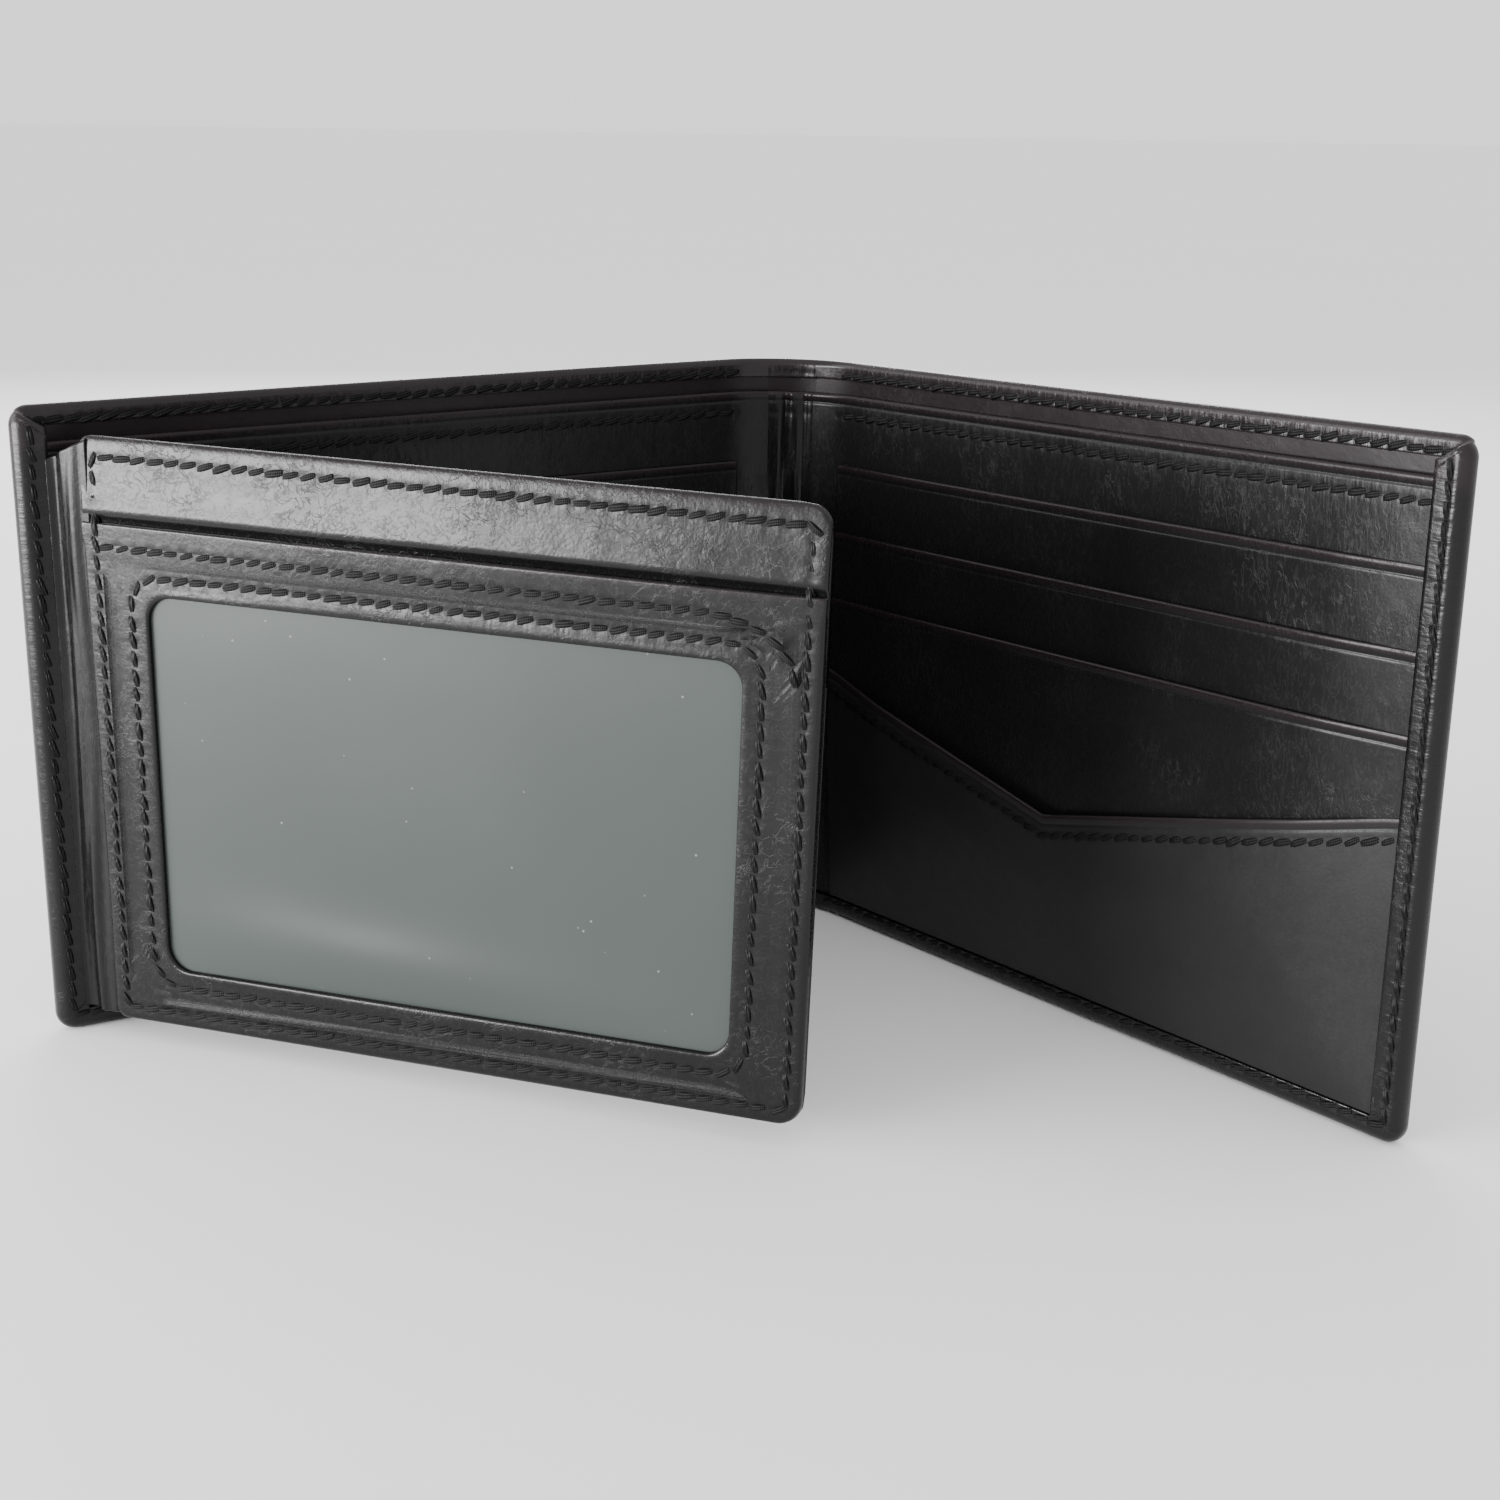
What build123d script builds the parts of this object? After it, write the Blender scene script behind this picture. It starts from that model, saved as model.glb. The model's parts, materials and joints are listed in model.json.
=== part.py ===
"""Leather wallet: two card halves folding on a soft spine, and an ID flap hinged inside.

Millimetres, +Z up. The wallet stands open on its bottom edges. The ID flap lies along X,
its window facing -Y, and the origin is on the ground under the middle of the bounding box.

Each panel is a stack of upright sheets. A place on a panel is given by u, the distance
from its fold line; z, the height; and depth, the distance in from the cover's outer face.
"""
import os
from dataclasses import dataclass
from math import atan2, cos, degrees, hypot, radians, sin, tan

from build123d import *

# ---------------------------------------------------------------- overall sizes
panel_height = 86.0         # cover, bottom to top
panel_length = 107.0        # cover, fold line to free end
spine_facet = 7.75          # each of the two strips of the soft spine
corner_radius = 2.3         # cover corners at the free ends

# ---------------------------------------------------------------- how it stands
opening_angle = 99.0        # between the two halves, 180 when laid flat
flap_turn = 49.5            # between the ID flap and the left half
fold_count = 3
closed_fold = 60.0          # turn at each of the three fold lines in the shut wallet

# ---------------------------------------------------------------- leather layers
cover_thickness = 1.0
lining_thickness = 0.3
bill_gap = 0.8              # the bill compartment, empty
divider_thickness = 0.6
pocket_thickness = 0.5
hem_thickness = 0.6         # turned edge over the whole stack
top_hem_thickness = 0.5     # turned edge over cover and lining
edge_thickness = 0.5        # turned leather on the end and bottom of the stack
fold_clearance = 0.3

# ---------------------------------------------------------------- turned edges
side_hem_width = 4.3
bottom_hem_width = 3.2
top_hem_width = 2.8
divider_drop = 4.8          # divider top below the cover top

# ---------------------------------------------------------------- card pockets
pocket_drops = (15.0, 25.0, 35.0)     # pocket tops below the cover top
card_drop = 47.0            # how deep a card sits in its pocket
notch_drops = (45.7, 57.4, 44.9)      # V pocket: at the fold, at the notch, at the free end
notch_share = 0.456         # the notch's place along the panel
left_bottom_pocket_drop = 45.0

# ---------------------------------------------------------------- ID flap
hinge_inset = 6.6           # hinge line from the left half's free end
hinge_depth = 6.2           # hinge line in from the left cover's outer face
hinge_swing_gap = 1.2       # hinge line to the flap's leather
hinge_radius_clear = 1.95   # hinge line to the end of the gusset
gusset_thickness = 0.5
gusset_foot = 1.0
flap_fold_gap = 1.6         # flap's free edge from the left fold line, when shut
flap_bottom = 2.8
flap_top_drop = 6.4         # flap top below the cover top
flap_free_radius = 3.0
flap_hinge_radius = 1.5
window_frame_thickness = 0.6
film_thickness = 0.25
flap_layer = 0.5
flap_back_thickness = 0.6
flap_edge_width = 4.0
slot_drop = 10.6            # lip of the slot below the flap top
slot_overlap = 7.0          # top panel reaching down behind the lip
window_hinge_margin = 9.0   # from the flap's leather to the window
window_free_margin = 9.6
window_low_margin = 8.0
window_lip_margin = 8.7
window_radius = 2.8
film_margin = 1.2
rear_pocket_drop = 21.6     # rear slip pocket below the flap top

# ---------------------------------------------------------------- thread
stitch_length = 1.7
stitch_width = 0.45
stitch_height = 0.2
stitch_pitch = 2.4
edge_stitch_inset = 2.0     # seam from a cover edge
divider_stitch_drop = 3.0
notch_stitch_drop = 3.0
flap_stitch_inset = 1.9
window_stitch_inset = 2.2
lip_stitch_drop = 2.9

# ---------------------------------------------------------------- depths in the stack
lining_inner = cover_thickness + lining_thickness
divider_outer = lining_inner + bill_gap
divider_inner = divider_outer + divider_thickness
hem_inner = divider_inner + hem_thickness
top_hem_inner = lining_inner + top_hem_thickness
fold_depth = cover_thickness            # the leather bends about the cover's inner face
divider_top = panel_height - divider_drop

# ---------------------------------------------------------------- heights and reaches
pocket_tops = [panel_height - drop for drop in pocket_drops]
notch_heights = [panel_height - drop for drop in notch_drops]
notch_u = panel_length * notch_share
left_bottom_pocket_top = panel_height - left_bottom_pocket_drop
flap_length = panel_length - hinge_inset - flap_fold_gap     # hinge line to free edge
flap_top = panel_height - flap_top_drop
slot_height = flap_top - slot_drop
window_left = hinge_swing_gap + window_hinge_margin
window_right = flap_length - window_free_margin
window_bottom = flap_bottom + window_low_margin
window_top = slot_height - window_lip_margin
rear_pocket_top = flap_top - rear_pocket_drop

fold_step = (180.0 - opening_angle) / fold_count


def heading_vector(heading: float) -> Vector:
    """Level unit vector along a panel, from its left to its right as seen from inside."""
    return Vector(cos(radians(heading)), sin(radians(heading)), 0)


def inward_vector(heading: float) -> Vector:
    """Level unit vector from a panel's outer face towards its inner face."""
    return Vector(sin(radians(heading)), -cos(radians(heading)), 0)


def fold_setback(inner_depth: float) -> float:
    """Least u of a layer, so that layers meet on the bisector when the fold is shut."""
    rise = max(0.0, inner_depth - fold_depth)
    return rise * tan(radians(closed_fold / 2)) + fold_clearance


@dataclass(frozen=True)
class Panel:
    """An upright panel: the foot of its fold line, its heading, and which way u runs."""

    foot: Vector
    heading: float
    side: int = 1
    foot_depth: float = fold_depth

    def plane(self, depth: float) -> Plane:
        """Upright plane at a depth, x to the right seen from inside and y up."""
        origin = self.foot + inward_vector(self.heading) * (depth - self.foot_depth)
        return Plane(origin=origin, x_dir=heading_vector(self.heading),
                     z_dir=inward_vector(self.heading))

    def plan(self, u: float, depth: float) -> Vector:
        """Point on the ground at a distance from the fold line and a depth."""
        along = heading_vector(self.heading) * (self.side * u)
        return self.foot + along + inward_vector(self.heading) * (depth - self.foot_depth)


# Headings fall by one fold step at each fold line, from the left half to the right half.
left_heading = flap_turn
headings = [left_heading - fold_step * count for count in range(fold_count + 1)]


def lay_out(middle_fold: Vector) -> dict:
    """Panels of the wallet around the foot of its middle fold line.

    The flap's foot is its hinge line.
    """
    left_fold = middle_fold - heading_vector(headings[1]) * spine_facet
    right_fold = middle_fold + heading_vector(headings[2]) * spine_facet
    left = Panel(left_fold, headings[0], side=-1)
    hinge_line = left.plan(panel_length - hinge_inset, hinge_depth)
    return {
        "left": left,
        "spine_left": Panel((left_fold + middle_fold) / 2, headings[1]),
        "spine_right": Panel((middle_fold + right_fold) / 2, headings[2]),
        "right": Panel(right_fold, headings[3]),
        "flap": Panel(hinge_line, 0.0, foot_depth=0.0),
        "middle_fold": middle_fold,
        "left_fold": left_fold,
        "right_fold": right_fold,
    }


def box_middle(layout: dict) -> Vector:
    """Middle of the plan's bounding box, from the corners of its outermost sheets."""
    half_cover = spine_facet / 2 - fold_setback(cover_thickness)
    corners = [layout[name].plan(panel_length, depth)
               for name in ("left", "right") for depth in (0.0, hem_inner)]
    corners += [layout[name].plan(side * half_cover, 0.0)
                for name in ("spine_left", "spine_right") for side in (-1, 1)]
    east = [corner.X for corner in corners]
    north = [corner.Y for corner in corners]
    return Vector((min(east) + max(east)) / 2, (min(north) + max(north)) / 2, 0)


layout = lay_out(Vector(0, 0, 0) - box_middle(lay_out(Vector(0, 0, 0))))


def save(piece: BuildPart, name: str) -> None:
    """Label a finished piece and write its STEP file."""
    piece.part.label = name
    export_step(piece.part, f"parts/{name}.step")


def free_corners(sketch: BuildSketch, panel: Panel) -> ShapeList:
    """The two corners of a rectangle at the panel's free end."""
    ordered = sketch.vertices().sort_by(Axis.X)
    return ordered[:2] if panel.side < 0 else ordered[-2:]


def sheet(panel: Panel, depths: tuple, u_span: tuple, z_span: tuple,
          radius: float = 0.0) -> BuildPart:
    """A flat sheet between two depths, its free end's corners rounded if a radius is given."""
    middle = (panel.side * sum(u_span) / 2, sum(z_span) / 2)
    with BuildPart() as piece:
        with BuildSketch(panel.plane(depths[0])) as outline:
            with Locations(middle):
                Rectangle(u_span[1] - u_span[0], z_span[1] - z_span[0])
            if radius:
                fillet(free_corners(outline, panel), radius)
        extrude(amount=depths[1] - depths[0])
    return piece


def angle_strip(panel: Panel, leg: tuple, wall: tuple, radius: float = 0.0) -> BuildPart:
    """A turned edge: a leg on the stack's inner face and a wall along its end or edge.

    Leg and wall are each (depths, u_span, z_span). The radius rounds the leg's free corners.
    """
    with BuildPart() as piece:
        for (depths, u_span, z_span), rounding in ((leg, radius), (wall, 0.0)):
            with BuildSketch(panel.plane(depths[0])) as outline:
                with Locations((panel.side * sum(u_span) / 2, sum(z_span) / 2)):
                    Rectangle(u_span[1] - u_span[0], z_span[1] - z_span[0])
                if rounding:
                    fillet(free_corners(outline, panel), rounding)
            extrude(amount=depths[1] - depths[0])
    return piece


def stitch_places(path: list) -> list:
    """Places of the stitches along straight runs from point to point, evenly spaced."""
    places = []
    for (x0, z0), (x1, z1) in zip(path, path[1:]):
        run = hypot(x1 - x0, z1 - z0)
        count = max(1, int(run / stitch_pitch))
        lean = degrees(atan2(z1 - z0, x1 - x0))
        for index in range(count):
            share = (index + 0.5) / count
            places.append(Location((x0 + (x1 - x0) * share, z0 + (z1 - z0) * share, 0),
                                   (0, 0, lean)))
    return places


def stitches(panel: Panel, rows: list) -> BuildPart:
    """Separate thread stitches lying on a leather face. A row is (depth, points as (u, z))."""
    with BuildPart() as piece:
        for depth, path in rows:
            run = [(panel.side * u, z) for u, z in path]
            with BuildSketch(panel.plane(depth)):
                with Locations(*stitch_places(run)):
                    Rectangle(stitch_length, stitch_width)
            extrude(amount=stitch_height)
    return piece


# ---------------------------------------------------------------- the two halves
hem_edge = panel_length - side_hem_width
wall_edge = panel_length - edge_thickness
cover_seam_u = panel_length - edge_stitch_inset


def make_shell(side_name: str) -> None:
    """Cover, lining, divider and turned edges of one half."""
    panel = layout[side_name]
    save(sheet(panel, (0.0, cover_thickness), (fold_setback(cover_thickness), panel_length),
               (0.0, panel_height), corner_radius), f"{side_name}_cover")
    save(sheet(panel, (cover_thickness, lining_inner), (fold_setback(lining_inner), wall_edge),
               (edge_thickness, panel_height - edge_thickness), corner_radius),
         f"{side_name}_lining")
    save(sheet(panel, (divider_outer, divider_inner), (fold_setback(divider_inner), wall_edge),
               (edge_thickness, divider_top)), f"{side_name}_bill_divider")

    straight = (corner_radius, panel_height - corner_radius)
    save(angle_strip(panel,
                     ((divider_inner, hem_inner), (hem_edge, panel_length), (0.0, panel_height)),
                     ((cover_thickness, divider_inner), (wall_edge, panel_length), straight),
                     corner_radius), f"{side_name}_side_hem")
    along = (fold_setback(hem_inner), hem_edge)
    save(angle_strip(panel,
                     ((divider_inner, hem_inner), along, (0.0, bottom_hem_width)),
                     ((cover_thickness, divider_inner), along, (0.0, edge_thickness))),
         f"{side_name}_bottom_hem")
    along = (fold_setback(top_hem_inner), panel_length - corner_radius)
    top_leg = (panel_height - top_hem_width, panel_height)
    top_wall = (panel_height - edge_thickness, panel_height)
    save(angle_strip(panel,
                     ((lining_inner, top_hem_inner), along, top_leg),
                     ((cover_thickness, lining_inner), along, top_wall)),
         f"{side_name}_top_hem")


def pocket_depths(index: int) -> tuple:
    """Outer and inner depth of a pocket layer, counted from the top pocket."""
    outer = divider_inner + pocket_thickness * index
    return outer, outer + pocket_thickness


def make_card_pockets(side_name: str, end_u: float) -> None:
    """The three straight card pockets, each one layer further in than the one above."""
    for index, top in enumerate(pocket_tops):
        depths = pocket_depths(index)
        low = max(bottom_hem_width, top - card_drop)
        save(sheet(layout[side_name], depths, (fold_setback(depths[1]), end_u), (low, top)),
             f"{side_name}_card_pocket_{index + 1}")


def make_notched_pocket(end_u: float) -> None:
    """The lowest pocket of the right half, with its top edge cut to a wide V."""
    depths = pocket_depths(len(pocket_tops))
    start_u = fold_setback(depths[1])
    with BuildPart() as piece:
        with BuildSketch(layout["right"].plane(depths[0])):
            with BuildLine():
                Polyline((start_u, bottom_hem_width), (start_u, notch_heights[0]),
                         (notch_u, notch_heights[1]), (end_u, notch_heights[2]),
                         (end_u, bottom_hem_width), close=True)
            make_face()
        extrude(amount=pocket_thickness)
    save(piece, "right_notched_pocket")


def make_bottom_pocket(end_u: float) -> None:
    """The lowest pocket of the left half, straight."""
    depths = pocket_depths(len(pocket_tops))
    save(sheet(layout["left"], depths, (fold_setback(depths[1]), end_u),
               (bottom_hem_width, left_bottom_pocket_top)), "left_bottom_pocket")


def make_panel_stitching(side_name: str) -> None:
    """Thread round one half: along its top, free end and bottom, and along its divider."""
    panel = layout[side_name]
    start_u = fold_setback(hem_inner) + stitch_length
    seam_low = bottom_hem_width - stitch_width * 2
    seam_top = panel_height - edge_stitch_inset
    rows = [
        (top_hem_inner, [(start_u, seam_top), (hem_edge, seam_top)]),
        (hem_inner, [(cover_seam_u, panel_height - corner_radius * 2),
                     (cover_seam_u, corner_radius * 2)]),
        (hem_inner, [(hem_edge, seam_low), (start_u, seam_low)]),
    ]
    save(stitches(panel, rows), f"{side_name}_edge_stitching")
    height = divider_top - divider_stitch_drop
    save(stitches(panel, [(divider_inner, [(start_u, height), (hem_edge - stitch_pitch, height)])]),
         f"{side_name}_divider_stitching")


def make_notch_stitching(end_u: float) -> None:
    """Thread following the V pocket's edge."""
    depth = pocket_depths(len(pocket_tops))[1]
    start_u = fold_setback(depth) + stitch_length
    heights = [height - notch_stitch_drop for height in notch_heights]
    path = [(start_u, heights[0]), (notch_u, heights[1]), (end_u - stitch_length, heights[2])]
    save(stitches(layout["right"], [(depth, path)]), "right_notch_stitching")


# ---------------------------------------------------------------- the soft spine
def make_spine_strip(name: str) -> None:
    """Cover, lining, divider and turned edges of one strip of the spine."""
    panel = layout[name]

    def span(inner_depth: float) -> tuple:
        half = spine_facet / 2 - fold_setback(inner_depth)
        return -half, half

    save(sheet(panel, (0.0, cover_thickness), span(cover_thickness), (0.0, panel_height)),
         f"{name}_cover")
    save(sheet(panel, (cover_thickness, lining_inner), span(lining_inner),
               (edge_thickness, panel_height - edge_thickness)), f"{name}_lining")
    save(angle_strip(panel,
                     ((divider_outer, divider_inner), span(divider_inner),
                      (edge_thickness, divider_top)),
                     ((cover_thickness, divider_inner), span(divider_inner),
                      (0.0, edge_thickness))), f"{name}_bill_divider")
    save(angle_strip(panel,
                     ((lining_inner, top_hem_inner), span(top_hem_inner),
                      (panel_height - top_hem_width, panel_height)),
                     ((cover_thickness, lining_inner), span(top_hem_inner),
                      (panel_height - edge_thickness, panel_height))), f"{name}_top_hem")


# ---------------------------------------------------------------- the hinge gusset
def make_gusset() -> None:
    """Hinge leather: a foot sewn against the side hem, and a web rising to the hinge line."""
    panel = layout["left"]
    foot_span = (hem_edge - gusset_foot, hem_edge)
    web_start = ((foot_span[0] + foot_span[1]) / 2, divider_inner + gusset_thickness / 2)
    hinge = (panel_length - hinge_inset, hinge_depth)
    run = (hinge[0] - web_start[0], hinge[1] - web_start[1])
    length = hypot(*run)
    web_share = (length - hinge_radius_clear) / length
    web_end = (web_start[0] + run[0] * web_share, web_start[1] + run[1] * web_share)
    offset = (-run[1] / length * gusset_thickness / 2, run[0] / length * gusset_thickness / 2)
    corners = [(web_start[0] + offset[0], web_start[1] + offset[1]),
               (web_end[0] + offset[0], web_end[1] + offset[1]),
               (web_end[0] - offset[0], web_end[1] - offset[1]),
               (web_start[0] - offset[0], web_start[1] - offset[1])]
    foot_depths = (divider_inner, divider_inner + gusset_thickness)
    foot = [(foot_span[0], foot_depths[0]), (foot_span[1], foot_depths[0]),
            (foot_span[1], foot_depths[1]), (foot_span[0], foot_depths[1])]
    low = bottom_hem_width + fold_clearance
    with BuildPart() as piece:
        for outline in (foot, corners):
            points = [panel.plan(*corner) for corner in outline]
            with BuildSketch(Plane.XY.offset(low)):
                with BuildLine():
                    Polyline(*[(point.X, point.Y) for point in points], close=True)
                make_face()
            extrude(amount=flap_top - flap_free_radius - low)
    save(piece, "flap_hinge_gusset")


# ---------------------------------------------------------------- the ID flap
flap_back = -flap_layer - flap_back_thickness
frame_back = flap_layer
frame_front = flap_layer + window_frame_thickness
flap_panel = layout["flap"]
flap_span = (hinge_swing_gap, flap_length)


def flap_sheet(depths: tuple, x_span: tuple, z_span: tuple, corners: dict) -> BuildPart:
    """A flap sheet whose corners have their own radii.

    Args:
        depths: back and front of the sheet, from the hinge line's plane.
        x_span: start and end from the hinge line.
        z_span: bottom and top.
        corners: radius by corner, such as {"top_free": 3.0}.
    """
    with BuildPart() as piece:
        with BuildSketch(flap_panel.plane(depths[0])) as outline:
            with Locations((sum(x_span) / 2, sum(z_span) / 2)):
                Rectangle(x_span[1] - x_span[0], z_span[1] - z_span[0])
            for place, radius in corners.items():
                level, end = place.split("_")
                row = outline.vertices().sort_by(Axis.Y)
                row = row[-2:] if level == "top" else row[:2]
                column = row.sort_by(Axis.X)
                fillet(column[-1] if end == "free" else column[0], radius)
        extrude(amount=depths[1] - depths[0])
    return piece


def make_flap_leather() -> None:
    """Back leather, top panel, turned edges and the rear slip pocket."""
    all_corners = {"bottom_free": flap_free_radius, "top_free": flap_free_radius,
                   "bottom_hinge": flap_hinge_radius, "top_hinge": flap_hinge_radius}
    save(flap_sheet((-flap_back_thickness, 0.0), flap_span, (flap_bottom, flap_top),
                    all_corners), "flap_back")
    top_panel_low = slot_height - slot_overlap
    save(flap_sheet((0.0, flap_layer), flap_span, (top_panel_low, flap_top),
                    {"top_free": flap_free_radius, "top_hinge": flap_hinge_radius}),
         "flap_top_panel")
    save(flap_sheet((flap_back, -flap_back_thickness), flap_span, (flap_bottom, rear_pocket_top),
                    {"bottom_free": flap_free_radius, "bottom_hinge": flap_hinge_radius}),
         "flap_rear_pocket")

    start, end = flap_span
    inner_start = start + flap_edge_width
    inner_end = end - flap_edge_width
    save(flap_sheet((0.0, flap_layer), (start, inner_start), (flap_bottom, top_panel_low),
                    {"bottom_hinge": flap_hinge_radius}), "flap_hinge_edge")
    save(flap_sheet((0.0, flap_layer), (inner_end, end), (flap_bottom, top_panel_low),
                    {"bottom_free": flap_free_radius}), "flap_free_edge")
    save(flap_sheet((0.0, flap_layer), (inner_start, inner_end),
                    (flap_bottom, flap_bottom + flap_edge_width), {}), "flap_bottom_edge")


def make_window() -> None:
    """The leather window frame with its slot lip, and the clear film behind it."""
    width = window_right - window_left
    height = window_top - window_bottom
    middle = ((window_left + window_right) / 2, (window_bottom + window_top) / 2)
    with BuildPart() as frame:
        with BuildSketch(flap_panel.plane(frame_back)) as outline:
            with Locations((sum(flap_span) / 2, (flap_bottom + slot_height) / 2)):
                Rectangle(flap_span[1] - flap_span[0], slot_height - flap_bottom)
            low = outline.vertices().sort_by(Axis.Y)[:2].sort_by(Axis.X)
            fillet(low[0], flap_hinge_radius)
            low = outline.vertices().sort_by(Axis.X)[-2:].sort_by(Axis.Y)
            fillet(low[0], flap_free_radius)
            with Locations(middle):
                RectangleRounded(width, height, window_radius, mode=Mode.SUBTRACT)
        extrude(amount=window_frame_thickness)
    save(frame, "id_window_frame")

    film_span = (window_left - film_margin, window_right + film_margin)
    film_rise = (window_bottom - film_margin, window_top + film_margin)
    save(flap_sheet((frame_back - film_thickness, frame_back), film_span, film_rise, {}),
         "id_window_film")


def make_flap_stitching() -> None:
    """Thread round the flap and round its window."""
    start = flap_span[0] + flap_stitch_inset
    end = flap_span[1] - flap_stitch_inset
    low = flap_bottom + flap_stitch_inset
    high = flap_top - flap_stitch_inset
    lip = slot_height - lip_stitch_drop
    clear = stitch_pitch / 2
    rows = [
        (frame_front, [(start, slot_height - clear), (start, low), (end, low),
                       (end, slot_height - clear)]),
        (flap_layer, [(start, slot_height + clear), (start, high), (end, high),
                      (end, slot_height + clear)]),
    ]
    save(stitches(flap_panel, rows), "flap_edge_stitching")
    left, right = window_left - window_stitch_inset, window_right + window_stitch_inset
    low, high = window_bottom - window_stitch_inset, window_top + window_stitch_inset
    rows = [(frame_front, [(left, low), (right, low), (right, high), (left, high), (left, low)]),
            (frame_front, [(start + stitch_pitch, lip), (end - stitch_pitch, lip)])]
    save(stitches(flap_panel, rows), "id_window_stitching")


os.makedirs("parts", exist_ok=True)
for half in ("left", "right"):
    make_shell(half)
    make_panel_stitching(half)
left_pocket_end = hem_edge - gusset_foot - fold_clearance - hinge_swing_gap
make_card_pockets("left", left_pocket_end)
make_bottom_pocket(left_pocket_end)
make_card_pockets("right", hem_edge)
make_notched_pocket(hem_edge)
make_notch_stitching(hem_edge)
for strip in ("spine_left", "spine_right"):
    make_spine_strip(strip)
make_gusset()
make_flap_leather()
make_window()
make_flap_stitching()
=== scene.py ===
"""Glossy leather wallet standing open, with its ID flap turned out between the two halves.

Sizes are in millimetres until a point is placed, and metres after that. A place on a half
is u, the distance from its fold line; z, the height; and depth, in from the outer face.
"""

import json
import logging
import math
from collections.abc import Callable, Sequence
from dataclasses import dataclass, field
from enum import Enum

import bmesh
import bpy
import numpy as np
from mathutils import Matrix, Vector

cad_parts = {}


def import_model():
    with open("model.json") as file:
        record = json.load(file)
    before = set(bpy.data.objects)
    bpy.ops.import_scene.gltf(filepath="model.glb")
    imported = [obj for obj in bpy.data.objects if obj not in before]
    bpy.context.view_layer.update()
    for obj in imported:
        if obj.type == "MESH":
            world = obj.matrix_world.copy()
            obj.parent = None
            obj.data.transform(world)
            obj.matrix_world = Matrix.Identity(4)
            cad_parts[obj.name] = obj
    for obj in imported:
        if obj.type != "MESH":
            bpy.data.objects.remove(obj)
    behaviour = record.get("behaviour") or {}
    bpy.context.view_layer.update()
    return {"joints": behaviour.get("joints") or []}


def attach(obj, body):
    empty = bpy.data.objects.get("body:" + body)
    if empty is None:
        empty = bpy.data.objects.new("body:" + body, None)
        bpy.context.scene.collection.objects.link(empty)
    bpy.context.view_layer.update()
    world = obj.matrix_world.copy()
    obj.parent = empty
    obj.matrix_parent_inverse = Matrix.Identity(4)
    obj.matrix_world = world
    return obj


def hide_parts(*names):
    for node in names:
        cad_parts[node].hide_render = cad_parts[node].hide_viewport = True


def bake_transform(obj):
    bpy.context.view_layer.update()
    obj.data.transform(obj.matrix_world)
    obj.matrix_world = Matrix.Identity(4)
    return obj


LOG = logging.getLogger("wallet")
MM = 0.001
PANEL_UNIT = 100.0          # millimetres in one unit of the panel map
STITCH_PITCH = 2.35         # millimetres
PATH_STEP = 1.5             # between points of a seam that is sewn
SHARP_ANGLE = 1.0           # radians between faces, past which an edge is a crisp one
EDGE_SPREAD = (0.0, 0.05, 0.14, 0.3, 0.55, 0.9, 1.35, 1.8)      # grid lines in from an edge
FOLD_REACH = 2.6            # leather that bends, each side of a fold line
FOLD_HEIGHT = 43.0
Array = np.ndarray
Depth = Callable[[Array, Array], Array]
Placing = Callable[[Array, Array, Array], Array]
Path = Sequence[tuple[float, float]]


class Side(Enum):
    """Which half of the wallet, and the way its u runs along the leather."""

    LEFT = -1
    RIGHT = 1

    @property
    def half(self) -> str:
        """Name of the body of this half."""
        return "left_half" if self is Side.LEFT else "right_half"

    @property
    def strip(self) -> str:
        """Name of the body of the spine strip next to this half."""
        return "spine_left" if self is Side.LEFT else "spine_right"

    @property
    def word(self) -> str:
        """Word that starts the names of this half's nodes."""
        return self.name.lower()


def link(thing: bpy.types.Object) -> bpy.types.Object:
    """Put an object in the scene."""
    bpy.context.scene.collection.objects.link(thing)
    return thing


# ------------------------------------------------------------------ shader and node maths
class Field:
    """A node socket that takes part in Python arithmetic."""

    def __init__(self, tree: "Tree", socket: bpy.types.NodeSocket) -> None:
        self.tree = tree
        self.socket = socket

    def _math(self, operation: str, *values: "Field | float") -> "Field":
        """Add one Math node."""
        return self.tree.node("ShaderNodeMath", {"operation": operation}, dict(enumerate(values)))

    def __add__(self, other: "Field | float") -> "Field":
        """Sum."""
        return self._math("ADD", self, other)

    def __radd__(self, other: float) -> "Field":
        """Sum with a number first."""
        return self._math("ADD", other, self)

    def __sub__(self, other: "Field | float") -> "Field":
        """Difference."""
        return self._math("SUBTRACT", self, other)

    def __rsub__(self, other: float) -> "Field":
        """Difference with a number first."""
        return self._math("SUBTRACT", other, self)

    def __mul__(self, other: "Field | float") -> "Field":
        """Product."""
        return self._math("MULTIPLY", self, other)

    def __rmul__(self, other: float) -> "Field":
        """Product with a number first."""
        return self._math("MULTIPLY", other, self)

    def __truediv__(self, other: "Field | float") -> "Field":
        """Quotient."""
        return self._math("DIVIDE", self, other)

    def __abs__(self) -> "Field":
        """Size without its sign."""
        return self._math("ABSOLUTE", self)

    def bell(self, width: float) -> "Field":
        """A soft bump of height 1 that falls away over a width either side of zero."""
        scaled = self / width
        return self._math("EXPONENT", scaled * scaled * -1.0)

    def wave(self, length: float) -> "Field":
        """A sine from 0 to 1 with a wavelength."""
        return self._math("SINE", self * (2 * math.pi / length)) * 0.5 + 0.5

    def ramp(self, low: float, high: float) -> "Field":
        """A smooth rise from 0 at low to 1 at high."""
        return self.tree.node("ShaderNodeMapRange", {"interpolation_type": "SMOOTHSTEP"},
                              {"Value": self, "From Min": low, "From Max": high})


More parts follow.
